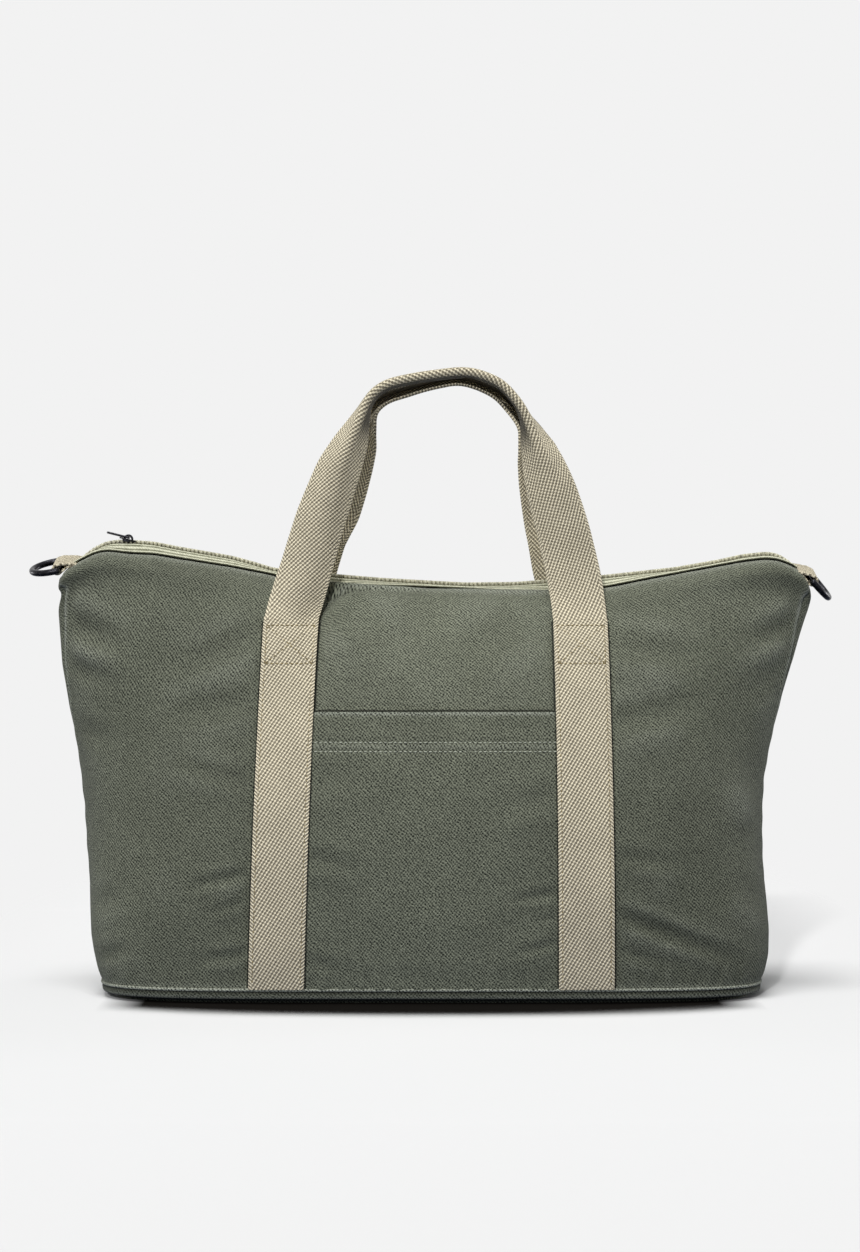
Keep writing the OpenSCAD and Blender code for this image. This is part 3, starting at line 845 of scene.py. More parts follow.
@dataclass(frozen=True)
class Crease:
    """A crease in the canvas, drawn on the bag's front as a line.

    Attributes:
        start: Its deeper end, as a place across and up.
        end: Its other end, where it has faded out.
        width: Width of its slopes.
        depth: How deep it lies.
        lip: How far the cloth stands proud above it, as a share of the depth.
    """

    start: tuple[float, float]
    end: tuple[float, float]
    width: float
    depth: float
    lip: float = 0.6

    def push(self, x: np.ndarray, z: np.ndarray) -> np.ndarray:
        """Shapes the cloth about the crease.

        Args:
            x: Places across.
            z: Heights.

        Returns:
            How far the crease moves the cloth outwards at each place.
        """
        begin, run = np.array(self.start), np.subtract(self.end, self.start)
        reach = float(np.linalg.norm(run))
        along = ((x - begin[0]) * run[0] + (z - begin[1]) * run[1]) / reach**2
        away = ((x - begin[0]) * -run[1] + (z - begin[1]) * run[0]) / reach
        held = smooth((along + 0.12) / 0.24) * smooth((1.0 - along) / 0.7)
        valley = -np.exp(-((away / self.width) ** 2))
        ridge = self.lip * np.exp(-(((np.abs(away) - 1.7 * self.width) / self.width) ** 2))
        return self.depth * held * (valley + ridge)

    def mirrored(self) -> "Crease":
        """Returns the like crease of the back, on the other side and a little higher."""
        start, end = [(-x, z + 6.0) for x, z in (self.start, self.end)]
        return replace(self, start=start, end=end)


@dataclass
class BagForm:
    """The shape that the canvas, the webbing and the zip share.

    A row is a level line round a face. Rows are counted by the height that they would have if the
    edge along the zip were level, from the base seam up to the crown.

    Attributes:
        seam_z: Height of the base seam.
        fold_z: Height above which the rows stretch up to the edge along the zip.
        belly_z: Height at which the bag is deepest.
        crown_z: Row of the edge along the zip.
        seam_depth: Depth of the bag at the base seam.
        belly_depth: Its depth at the belly.
        edge_y: Distance of the edge from the middle of the zip.
        roof_power: How round the face is from the belly to the zip: 0.5 is an ellipse.
        foot_square: How square the level section is at the base seam: 2 is an ellipse.
        roof_square: The same at its roundest.
        crown_square: The same at the zip.
        roof_square_z: Row at which the section is roundest.
        canvas_t: Thickness of the canvas.
        left_end: Half length of the left side by height.
        right_end: Half length of the right side by height.
        edge_line: Height of the canvas edge along the zip, by place across.
        zip_line: Height of the middle of the teeth, by place across.
        drift: Unevenness of the whole face.
    """

    seam_z: float = 10.0
    fold_z: float = 200.0
    belly_z: float = 80.0
    crown_z: float = 281.0
    seam_depth: float = 196.0
    belly_depth: float = 208.0
    edge_y: float = 9.0
    roof_power: float = 0.62
    foot_square: float = 5.0
    roof_square: float = 2.1
    crown_square: float = 12.0
    roof_square_z: float = 235.0
    canvas_t: float = 1.2
    left_end: Curve = Curve(
        (
            (10, 230), (14, 232.5), (20, 234.5), (30, 237), (42, 239.2), (60, 240.4), (78, 241.2), (97, 243),
            (130, 245.4), (159, 249.4), (181, 253.8), (199, 258), (226, 263.5), (262, 266.4), (266, 265.8),
            (270.5, 263.4), (275.5, 266.2), (281, 264.6),
        ),
        4.0,
    )
    right_end: Curve = Curve(
        (
            (10, 230), (15, 233.4), (28, 236.6), (45, 237.4), (66, 236.2), (82, 234.8), (100, 234),
            (126, 234.2), (149, 235.8), (165, 239), (183, 243.4), (206, 250), (229, 258.6), (263, 269),
            (272, 271), (277, 270), (281, 267),
        ),
        4.0,
    )
    edge_line: Curve = Curve(
        (
            (-270, 284), (-266.5, 288), (-263, 293.6), (-258.5, 298), (-252, 302), (-246, 305),
            (-240, 308), (-231, 310), (-215, 308.2), (-197, 307.4), (-170, 303), (-141, 298.4),
            (-112, 292.8), (-98, 288), (-86, 275),
            (-77, 271.5), (-69, 277), (-60, 285.5), (-38, 284.8), (-11, 284.2), (24, 282.7), (48, 281.5),
            (83, 281), (124, 284), (156, 290.3), (189, 296.4), (221, 302.4), (236, 304.2), (246, 303.6),
            (256, 300), (262, 296), (267, 290.5), (272.6, 284), (276, 280),
        ),
        5.0,
    )
    zip_line: Curve = Curve(
        (
            (-262, 292), (-256, 298), (-250, 303.5), (-242, 310), (-236, 313.6), (-230, 315.8), (-222, 316.6),
            (-214, 316.4), (-198, 315.2), (-181, 311.8), (-161, 308.4), (-142, 305), (-126, 300.6),
            (-113, 296.6),
            (-68, 292), (-35, 289.3), (24, 286), (59, 286.4), (90, 288.6), (123, 291.4), (174, 297),
            (206, 302.6), (222, 306.2), (239, 308), (246, 307), (252, 303.8), (258, 299), (264, 293),
        ),
        5.0,
    )
    drift: Cloud = Cloud(7, 58.0)

    def half_length(self, h: np.ndarray, x: np.ndarray) -> np.ndarray:
        """Returns the half length at a height on the side of x."""
        return np.where(x < 0, self.left_end(h), self.right_end(h))

    def half_depth(self, h: np.ndarray) -> np.ndarray:
        """Measures the face's distance from the middle of the bag, which shrinks as a roof to the zip.

        Args:
            h: Rows.

        Returns:
            The half depth at each row.
        """
        low = 1 - (1 - np.clip((h - self.seam_z) / (self.belly_z - self.seam_z), 0, 1)) ** 2
        foot = (self.seam_depth + (self.belly_depth - self.seam_depth) * low) / 2
        rise = np.clip((h - self.belly_z) / (self.crown_z - self.belly_z), 0, 1)
        roof = self.edge_y + (self.belly_depth / 2 - self.edge_y) * (1 - rise**2) ** self.roof_power
        return np.where(h <= self.belly_z, foot, roof)

    def square(self, h: np.ndarray) -> np.ndarray:
        """Tells how square the level section is: 2 is an ellipse.

        Args:
            h: Rows.

        Returns:
            The section's exponent at each row.
        """
        low = np.clip((self.roof_square_z - h) / (self.roof_square_z - self.seam_z), 0, 1) ** 2
        high = np.clip((h - self.roof_square_z) / (self.crown_z - self.roof_square_z), 0, 1) ** 10
        return (
            self.roof_square
            + (self.foot_square - self.roof_square) * low
            + (self.crown_square - self.roof_square) * high
        )

    def lift(self, h: np.ndarray, x: np.ndarray) -> np.ndarray:
        """Returns the real height of a row: above the fold, each column stretches to the edge line."""
        share = (h - self.fold_z) / (self.crown_z - self.fold_z)
        return np.where(h <= self.fold_z, h, self.fold_z + (self.edge_line(x) - self.fold_z) * share)

    def level(self, z: np.ndarray, x: np.ndarray) -> np.ndarray:
        """Returns the row of a place at a real height."""
        share = (z - self.fold_z) / (self.edge_line(x) - self.fold_z)
        return np.where(z <= self.fold_z, z, self.fold_z + (self.crown_z - self.fold_z) * share)

    def sway(self, x: np.ndarray, z: np.ndarray) -> np.ndarray:
        """Returns the soft unevenness of the whole face, outwards."""
        calm = band(z, 40.0, 262.0, 50.0) * band(x, -215.0, 215.0, 60.0)
        return 1.5 * calm * self.drift(x, z * 0.8)

    def front(self, x: np.ndarray, z: np.ndarray, out: np.ndarray | float = 0.0) -> np.ndarray:
        """Places points on the front face.

        Args:
            x: Places across.
            z: Heights.
            out: Distance outside the canvas.

        Returns:
            The points.
        """
        x, z, out = np.broadcast_arrays(*[np.asarray(v, float) for v in (x, z, out)])
        h = self.level(z, x)
        slope = self.half_depth(h + 0.5) - self.half_depth(h - 0.5)
        steep = np.minimum(np.sqrt(1 + slope**2), 1.7)
        n = self.square(h)
        share = np.clip(np.abs(x) / (self.half_length(h, x) + out), 0, 1)
        depth = (self.half_depth(h) + out * steep) * (1 - share**n) ** (1 / n)
        return np.stack([x, -depth - self.sway(x, z), z], axis=-1)

    def outward(self, x: np.ndarray, z: np.ndarray) -> np.ndarray:
        """Finds the directions straight out of the front face.

        Args:
            x: Places across.
            z: Heights.

        Returns:
            The direction at each place.
        """
        across = self.front(x + 1, z) - self.front(x - 1, z)
        upward = self.front(x, z + 1) - self.front(x, z - 1)
        return unit(np.cross(across, upward))

    def row(self, h: float, count: int) -> np.ndarray:
        """Places points evenly along the front, from the left end seam to the right one.

        Args:
            h: The row.
            count: Number of points.

        Returns:
            The points.
        """
        turn = np.linspace(0.0, math.pi, 721)
        n = float(self.square(np.array(h)))
        cosine = np.cos(turn)
        length = np.where(cosine > 0, self.left_end(np.array(h)), self.right_end(np.array(h)))
        x = -np.sign(cosine) * length * np.abs(cosine) ** (2 / n)
        y = -self.half_depth(np.array(h)) * np.abs(np.sin(turn)) ** (2 / n)
        x[0], x[-1], y[0], y[-1] = -length[0], length[-1], 0.0, 0.0
        points = np.stack([x, y, self.lift(np.array(h), x)], axis=1)
        return even_steps(points, count)

    def rows(self, count: int) -> np.ndarray:
        """Returns row heights evenly spaced along the middle of the front."""
        h = np.linspace(self.seam_z, self.crown_z, 600)
        return even_steps(np.stack([self.half_depth(h), h], axis=1), count)[:, 1]


@dataclass(frozen=True)
class StrapPlan:
    """Where the webbing runs on each face.

    Attributes:
        width: Width of the webbing.
        thickness: Thickness of the webbing.
        foot_x: Half the distance between the straps at the base seam.
        head_x: Half the distance between the straps at the handle.
        shift: How far the straps' heads lie to the right.
        foot_z: Height of the straps' feet, at the base seam.
        head_z: Height at which the handle leaves the bag.
        box_low: Lower side of the sewn box that holds a strap's head.
        box_high: Upper side of that box.
        stitch_in: Distance of the stitches from the webbing's edges.
        out: How far the webbing's back lies above the canvas.
        out_more: How much further it lies out at the head.
    """

    width: float = 38.0
    thickness: float = 2.0
    foot_x: float = 105.5
    head_x: float = 101.0
    shift: float = 3.0
    foot_z: float = 10.0
    head_z: float = 261.0
    box_low: float = 231.0
    box_high: float = 257.5
    stitch_in: float = 2.6
    out: float = 1.2
    out_more: float = 0.25

    def middle(self, z: np.ndarray, side: int) -> np.ndarray:
        """Returns the place across of a strap's middle line at a height."""
        share = (z - self.foot_z) / (self.head_z - self.foot_z)
        return self.shift * share + side * (self.foot_x + (self.head_x - self.foot_x) * share)

    def lift_off(self, z: np.ndarray | float) -> np.ndarray:
        """Returns how far the webbing's back lies above the canvas at a height."""
        return self.out + self.out_more * smooth((z - 225) / 30)


@dataclass(frozen=True)
class PocketPlan:
    """Where the patch pocket lies on the front.

    Attributes:
        top: Height of its mouth.
        tuck: How far each of its sides runs under a strap.
        stitch_rows: Heights of the two rows of stitches under the mouth.
    """

    top: float = 197.6
    tuck: float = 4.0
    stitch_rows: tuple[float, float] = (177.6, 171.4)

    def lip(self, x: np.ndarray, z: np.ndarray | float) -> np.ndarray:
        """Returns how far the mouth stands open at each place, from 0 to 1."""
        return smooth((z - 150.0) / 48.0) * (1 - ((x - 1.0) / 92.0) ** 2)


@dataclass
class SubAssembly:
    """What every sub-assembly of the bag is built from.

    Attributes:
        form: Shape of the bag.
        plan: Where the straps run.
        patch: Where the pocket lies.
        wardrobe: Materials.
    """

    form: BagForm
    plan: StrapPlan
    patch: PocketPlan
    wardrobe: Wardrobe


# Distances of the mouth's fold line and of the handles' feet from the middle of the bag
MOUTH_Y = 81.0
HANDLE_Y = 48.3
# Half length of the mouth, and how far from its ends the bend fades out
MOUTH_END = 212.0
MOUTH_FADE = 84.0


def hold(piece: bpy.types.Object, face: Face) -> None:
    """Bends a piece sewn to a face from the body of the bag to its mouth panel.

    The bend fades out towards the ends of the mouth, where the zip holds the two faces together.

    Args:
        piece: Finished piece with no parent.
        face: Face that it is on.
    """
    depth = -MOUTH_Y * MM * face.value
    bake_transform(piece, "bag", face.mouth, start=(0, depth, 0.160), end=(0, depth, 0.240))
    layer = piece.data.attributes["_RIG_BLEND"]
    share = np.empty(len(piece.data.vertices), np.float32)
    layer.data.foreach_get("value", share)
    across = np.abs(vertex_places(piece)[:, 0])
    layer.data.foreach_set("value", (share * smooth((MOUTH_END - across) / MOUTH_FADE)).astype(np.float32))


# ---------------------------------------------------------------- canvas


@dataclass
class CanvasBody(SubAssembly):
    """The two canvas faces, each from the base seam to the zip, and the pocket on the front.

    Attributes:
        columns: Number of steps along a face.
        rows: Number of steps up a face.
        hem_t: Thickness of the canvas where it is turned over beside the zip.
        gape: How far the edge hangs open beside the front handle's left foot.
        gape_x: Place of that gape.
        seam_in: Distance of the front's end seams from its ends.
        creases: Creases of the front. The back has them mirrored.
        pocket_creases: Creases of the pocket.
        wash: Painted light and shade by height, at the left, the middle and the right: how much paler or
            darker the cloth is drawn there.
        rumple: Small unevenness of the cloth.
        grain: Finer unevenness.
    """

    columns: int = 300
    rows: int = 128
    hem_t: float = 1.7
    gape: float = 5.0
    gape_x: float = -69.0
    seam_in: float = 11.0
    creases: tuple[Crease, ...] = (
        Crease((-128, 88), (-172, 78), 4.0, 1.5),
        Crease((-128, 70), (-160, 58), 3.4, 0.9),
        Crease((-128, 34), (-166, 28), 4.0, 1.3),
        Crease((-128, 150), (-190, 166), 6.0, 1.2),
        Crease((-126, 205), (-200, 190), 9.0, 1.6),
        Crease((-124, 250), (-190, 222), 9.0, 1.8),
        Crease((-262, 262), (-205, 238), 9.0, 3.2),
        Crease((-262, 232), (-212, 214), 7.0, 2.0),
        Crease((-258, 188), (-214, 172), 8.0, 1.8),
        Crease((-246, 60), (-206, 76), 7.0, 1.6),
        Crease((-240, 24), (-200, 40), 5.0, 1.6),
        Crease((130, 60), (226, 22), 5.0, 2.8),
        Crease((128, 100), (184, 92), 5.0, 1.1),
        Crease((128, 36), (172, 24), 4.0, 1.0),
        Crease((126, 190), (200, 206), 9.0, 1.8),
        Crease((128, 244), (200, 232), 9.0, 2.2),
        Crease((266, 262), (214, 240), 8.0, 3.0),
        Crease((262, 236), (206, 200), 10.0, 2.2),
        Crease((240, 130), (216, 180), 12.0, 2.6),
        Crease((238, 60), (204, 90), 8.0, 1.8),
        Crease((60, 262), (20, 230), 14.0, 1.6),
        Crease((-60, 270), (-30, 236), 12.0, 1.8),
    )
    pocket_creases: tuple[Crease, ...] = (
        Crease((84, 76), (44, 70), 3.6, 0.9),
        Crease((84, 42), (52, 34), 3.4, 0.9),
        Crease((84, 60), (64, 56), 3.0, 0.5),
        Crease((-86, 100), (-40, 92), 6.0, 1.0),
        Crease((-86, 30), (-50, 22), 5.0, 1.0),
        Crease((-86, 150), (-30, 158), 9.0, 1.0),
        Crease((82, 140), (30, 132), 8.0, 1.0),
    )
    # Painted light and shade: paler in the middle, darker at the sides and most at the lower right
    wash: tuple[tuple[float, Curve], ...] = (
        (-170.0, Curve(((30, -0.09), (80, -0.11), (140, -0.20), (200, -0.15), (250, -0.09)), 20.0)),
        (0.0, Curve(((30, 0.13), (80, 0.08), (140, 0.0), (200, -0.02), (250, 0.13)), 20.0)),
        (185.0, Curve(((30, -0.26), (80, -0.27), (140, -0.20), (200, -0.12), (250, -0.02)), 20.0)),
    )
    rumple: Cloud = Cloud(11, 26.0)
    grain: Cloud = Cloud(23, 9.0)

    def covered(self, x: np.ndarray, z: np.ndarray, face: Face) -> np.ndarray:
        """Finds the canvas that lies under something.

        Args:
            x: Places across.
            z: Heights.
            face: Face to look at.

        Returns:
            1 where webbing or the pocket lies on the canvas, and 0 where it is bare.
        """
        half = self.plan.width / 2 + 1.5
        shares = [
            band(x, m - half, m + half, 5.0) * band(z, -50.0, self.plan.head_z + 4, 8.0)
            for m in (self.plan.middle(z, -1), self.plan.middle(z, 1))
        ]
        if face is Face.FRONT:
            shares.append(band(x, -100.0, 100.0, 8.0) * band(z, -50.0, self.patch.top - 2, 6.0))
        return np.clip(sum(shares), 0, 1)

    def pressed(self, x: np.ndarray, z: np.ndarray) -> np.ndarray:
        """Draws the canvas in along the straps.

        Args:
            x: Places across.
            z: Heights.

        Returns:
            How far the seams draw it in at each place.
        """
        sewn = band(z, -50.0, self.plan.head_z + 2, 8.0)
        away = [np.abs(x - self.plan.middle(z, side)) - self.plan.width / 2 - 0.8 for side in (-1, 1)]
        return 1.2 * sewn * sum(bump(a, 0.0, 2.0) for a in away)

    def washed(self, x: np.ndarray, z: np.ndarray) -> np.ndarray:
        """Spreads the painted light and shade over the cloth.

        Args:
            x: Places across.
            z: Heights.

        Returns:
            How much paler, as painted light, or darker, as painted shade, each place is than the cloth as a
            whole.
        """
        (left, low), (middle, centre), (right, high) = self.wash
        to_left = smooth((middle - x) / (middle - left))
        to_right = smooth((x - middle) / (right - middle))
        return low(z) * to_left + high(z) * to_right + centre(z) * (1 - to_left - to_right)

    def strap_side(self, x: np.ndarray, z: np.ndarray) -> np.ndarray:
        """Returns how much nearer than the length NEAR each place is to a strap's edge, for the painted shade
        line beside it.
        """
        away = [np.abs(x - self.plan.middle(z, side)) - self.plan.width / 2 for side in (-1, 1)]
        return np.clip(NEAR - np.minimum(*away), 0.0, 20.0) * (z < self.plan.head_z)

    def relief(self, x: np.ndarray, z: np.ndarray, creases: tuple[Crease, ...]) -> np.ndarray:
        """Shapes the cloth.

        Args:
            x: Places across.
            z: Heights.
            creases: The cloth's creases.

        Returns:
            How far the creases and the small unevenness move it outwards.
        """
        pushed = sum(crease.push(x, z) for crease in creases)
        small = 0.55 * self.rumple(x, z) + 0.22 * self.grain(x, z * 0.7)
        pucker = 0.5 * np.sin(x / 2.1 + 2.0 * self.rumple(x, z)) * smooth((34.0 - z) / 24.0)
        return pushed + small + pucker

    def thicken(self, sheet: bpy.types.Object, hem: np.ndarray) -> None:
        """Gives a face its thickness, which is greater along its hem.

        Args:
            sheet: The face, with no thickness yet.
            hem: How much each of its points belongs to the hem.
        """
        group = sheet.vertex_groups.new(name="hem")
        thin = self.form.canvas_t / self.hem_t
        for index, share in enumerate(hem.ravel().astype(np.float32)):
            group.add([index], float(thin + (1 - thin) * share), "REPLACE")
        thick = self.hem_t * MM
        shape_with(sheet, "SOLIDIFY", thickness=thick, offset=-1.0, vertex_group="hem", use_even_offset=False)
        sheet.vertex_groups.clear()

    def face_sheet(self, face: Face) -> bpy.types.Object:
        """Builds one canvas face with its creases, hem and end seams.

        Args:
            face: Face to build.

        Returns:
            The face.
        """
        form = self.form
        heights = form.rows(self.rows + 1)
        points = np.stack([form.row(h, self.columns + 1) for h in heights])
        x, z = points[..., 0], points[..., 2]
        points[..., 1] -= form.sway(x, z)
        across = np.linalg.norm(np.diff(points, axis=1), axis=2)
        reach = np.concatenate([np.zeros((len(heights), 1)), np.cumsum(across, axis=1)], axis=1)
        from_end = np.minimum(reach, reach[:, -1:] - reach)
        level = np.broadcast_to(heights[:, None], x.shape)
        below_edge = form.lift(np.full_like(x, form.crown_z), x) - z
        bare = 1 - self.covered(x, z, face)
        if face is Face.FRONT:
            points[..., 1] -= self.gape * bump(x, self.gape_x, 13.0) * smooth((level - 250.0) / 31.0) * bare
        middle = lengths_along(points[:, self.columns // 2])
        flat = np.stack([reach - reach[:, -1:] / 2, np.broadcast_to(middle[:, None], x.shape)], axis=-1)
        # The cloth's relief fades out towards its seams
        creases = self.creases if face is Face.FRONT else tuple(c.mirrored() for c in self.creases)
        push = self.relief(x, z, creases) * bare - self.pressed(x, z)
        push *= smooth((form.half_length(level, x) - np.abs(x)) / 20.0)
        push *= smooth(from_end / 34.0) * smooth((z - form.seam_z) / 6.0)
        wear = 0.7 * bump(below_edge, 0.0, 2.2) + 0.5 * bump(z, form.seam_z, 2.4)
        # These values place the painted shade line beside each strap, and painted light and shade over the
        # whole face
        sides = {"strap_side": self.strap_side(x, z), "wash": self.washed(x, z)}
        if face is Face.FRONT:
            # The end seam pulls the front into a groove, with a puckered and rubbed ridge beside it
            pinch = 1.0 + 0.25 * np.sin(z / 3.1)
            push -= 1.5 * pinch * bump(from_end, self.seam_in, 1.9)
            push += 0.8 * pinch * bump(from_end, self.seam_in + 4.6, 3.0)
            wear += 1.2 * bump(from_end, self.seam_in + 2.8, 1.7) * band(z, 186.0, 290.0, 20.0)
            # A painted shade line on the canvas just above the pocket's mouth
            sides["pocket_mouth_shade"] = np.clip(z - self.patch.top + NEAR - 1.8, 0.0, 20.0) * (np.abs(x) < 89.0)
        push *= smooth((below_edge + 6.0) / 16.0)
        wear += np.clip(push * 0.12, 0.0, 0.35)
        outward = unit(np.cross(np.gradient(points, axis=1), np.gradient(points, axis=0)))
        points = points + outward * push[..., None]
        sheet = cloth_grid(f"{face.word}_canvas", face.turn(points), face.turn_flat(flat))
        self.store(sheet, face, {"wear": wear, **sides})
        self.thicken(sheet, face.order(np.clip(1.0 - (below_edge - 9.0) / 1.5, 0.0, 1.0)))
        smooth_shade(sheet, 60.0)
        dress(sheet, self.wardrobe.canvas)
        hold(sheet, face)
        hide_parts(f"{face.word}_panel", f"{face.word}_mouth")
        return sheet

    def store(self, sheet: bpy.types.Object, face: Face, grids: dict[str, np.ndarray]) -> None:
        """Stores values of each point by name, from grids like the front's points."""
        for name, grid in grids.items():
            point_values(sheet, name, face.order(grid).ravel())

    def pocket(self) -> bpy.types.Object:
        """Builds the patch pocket, whose sides run under the straps.

        Returns:
            The pocket.
        """
        form, plan, patch = self.form, self.plan, self.patch
        z = form.seam_z + (patch.top - form.seam_z) * np.linspace(0, 1, 150)[:, None]
        share = np.linspace(0, 1, 76)[None, :]
        reach = plan.width / 2 - patch.tuck
        left, right = plan.middle(z, -1) + reach, plan.middle(z, 1) - reach
        x = left + (right - left) * share
        z = z + 0.0 * x
        inner = band(x, left + 5, right - 5, 8.0)
        out = 0.15 + inner * (0.55 + 0.9 * smooth((z - 16.0) / 14.0) + 1.3 * patch.lip(x, z))
        out += inner * np.clip(self.relief(x, z, self.pocket_creases), -1.1, 2.4)
        out -= 0.55 * sum(bump(z, row, 1.3) for row in patch.stitch_rows) - 0.45 * bump(z, patch.top, 5.0)
        sheet = cloth_grid("front_pocket_canvas", form.front(x, z, out), np.stack([x, z], axis=-1))
        wear = 0.9 * bump(z, patch.top, 1.8) + 0.25 * bump(z, sum(patch.stitch_rows) / 2, 1.6)
        # The pocket also gets the painted shade line beside each strap, and painted light and shade
        sides = {"strap_side": self.strap_side(x, z), "wash": self.washed(x, z)}
        self.store(sheet, Face.FRONT, {"wear": wear, **sides})
        shape_with(sheet, "SOLIDIFY", thickness=form.canvas_t * MM, offset=1.0)
        smooth_shade(sheet, 60.0)
        dress(sheet, self.wardrobe.canvas)
        hold(sheet, Face.FRONT)
        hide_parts("front_pocket")
        return sheet


@dataclass
class BasePanel(SubAssembly):
    """The canvas tray under the bag and the welt along its seam.

    Attributes:
        inset: How far the flat floor lies inside the base seam.
        around: Number of steps round the tray.
        floor_shares: Sizes of the floor's rings, as shares of the whole floor.
        welt_r: Half the width of the welt.
        wall: The tray's wall from the floor to the seam: how far it lies inside the seam, and its height.
    """

    inset: float = 9.0
    around: int = 240
    floor_shares: tuple[float, ...] = (0.02, 0.3, 0.6, 0.85, 0.96)
    welt_r: float = 0.85
    wall: tuple[tuple[float, float], ...] = (
        (9.0, 0.0), (8.4, 1.6), (6.6, 2.7), (3.8, 3.0), (1.6, 3.2), (0.5, 3.7), (-0.1, 4.8), (-0.3, 6.4),
        (-0.1, 8.2), (0.4, 10.0),
    )

    def outline(self, inset: float, count: int) -> np.ndarray:
        """Draws a closed level outline at the base seam.

        Args:
            inset: How far it lies inside the seam.
            count: Number of steps round it.

        Returns:
            Its points, of which the last is the first again.
        """
        form, seam = self.form, np.array(self.form.seam_z)
        turn = np.linspace(0.0, 2 * math.pi, 1441)
        power = 2 / float(form.square(seam))
        length, depth = float(form.left_end(seam)) - inset, float(form.half_depth(seam)) - inset
        x = -length * np.sign(np.cos(turn)) * np.abs(np.cos(turn)) ** power
        y = -depth * np.sign(np.sin(turn)) * np.abs(np.sin(turn)) ** power
        line = even_steps(np.stack([x, y], axis=1), count + 1)
        line[-1] = line[0]
        return line

    def tray(self) -> bpy.types.Object:
        """Builds the tray: a flat floor, a recess and the soft lip that hangs over it from the seam.

        Returns:
            The tray.
        """
        steps = [(share, self.inset, 0.0) for share in self.floor_shares]
        steps += [(1.0, inset, z) for inset, z in self.wall]
        rings = []
        for share, inset, z in steps:
            line = self.outline(inset, self.around) * share
            rings.append(np.column_stack([line, np.full(len(line), z)]))
        points = np.stack(rings)
        flat, wall = points[..., :2].copy(), len(self.wall)
        rise = lengths_along(np.array(self.wall))[:, None]
        flat[-wall:] = np.stack(np.broadcast_arrays(lengths_along(points[-wall])[None, :], rise), axis=-1)
        tray = cloth_grid("base_canvas", points[:, ::-1], flat[:, ::-1])
        height = points[..., 2]
        point_values(tray, "wear", 0.8 * bump(height, 4.2, 0.9).ravel())
        # Painted shade on the tray: darkest on the wall in the recess under the lip and just under the seam
        # welt, lighter on the lip, none on the flat floor underneath
        shade = 0.4 + 0.36 * band(height, 3.4, 7.6, 1.6) + 0.6 * (height < 0.2)
        point_values(tray, "strap_side", (SHADE_LINE - shade).ravel())
        with edit_mode(tray):
            join_touching()
            bpy.ops.mesh.select_all(action="DESELECT")
            bpy.ops.mesh.select_non_manifold(use_boundary=True)
        # Only the small hole in the middle of the floor is closed, not the rim
        for edge in tray.data.edges:
            ends = [tray.data.vertices[v].co for v in edge.vertices]
            edge.select = edge.select and all(abs(c.z) < GROUND for c in ends)
        for vertex in tray.data.vertices:
            vertex.select = vertex.select and abs(vertex.co.z) < GROUND
        with edit_mode(tray, everything=False):
            bpy.ops.mesh.edge_face_add()
            bpy.ops.mesh.select_all(action="SELECT")
            face_outwards()
        shape_with(tray, "SOLIDIFY", thickness=self.form.canvas_t * MM, offset=-1.0)
        smooth_shade(tray, 60.0)
        dress(tray, self.wardrobe.canvas)
        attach(tray, "bag")
        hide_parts("base_panel")
        return tray

    def welt(self) -> bpy.types.Object:
        """Builds the turned edge of canvas that stands out along the base seam.

        Returns:
            The welt.
        """
        line = self.outline(-0.3, 480) * np.array([1.0, 1.011])
        forward = np.column_stack([np.gradient(line, axis=0), np.zeros(len(line))])
        forward[0] = forward[-1] = np.array([0.0, -1.0, 0.0])
        out = unit(np.cross(forward, np.array([0.0, 0.0, 1.0])))
        out *= np.sign((out[:, :2] * line).sum(axis=1, keepdims=True))
        rings = []
        for angle in np.linspace(0, 2 * math.pi, 11):
            ring = np.column_stack([line, np.full(len(line), self.form.seam_z - 0.3)])
            ring += out * self.welt_r * math.cos(angle)
            ring[:, 2] += self.welt_r * 1.2 * math.sin(angle)
            rings.append(ring)
        points = np.stack(rings)
        flat = np.stack([np.broadcast_to(lengths_along(line), points.shape[:2]), points[..., 2]], axis=-1)
        welt = cloth_grid("base_seam_welt", points, flat)
        point_values(welt, "wear", np.full(len(welt.data.vertices), 0.9))
        with edit_mode(welt):
            join_touching()
            face_outwards()
        smooth_shade(welt, 80.0)
        dress(welt, self.wardrobe.canvas)
        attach(welt, "bag")
        return welt


# ---------------------------------------------------------------- webbing


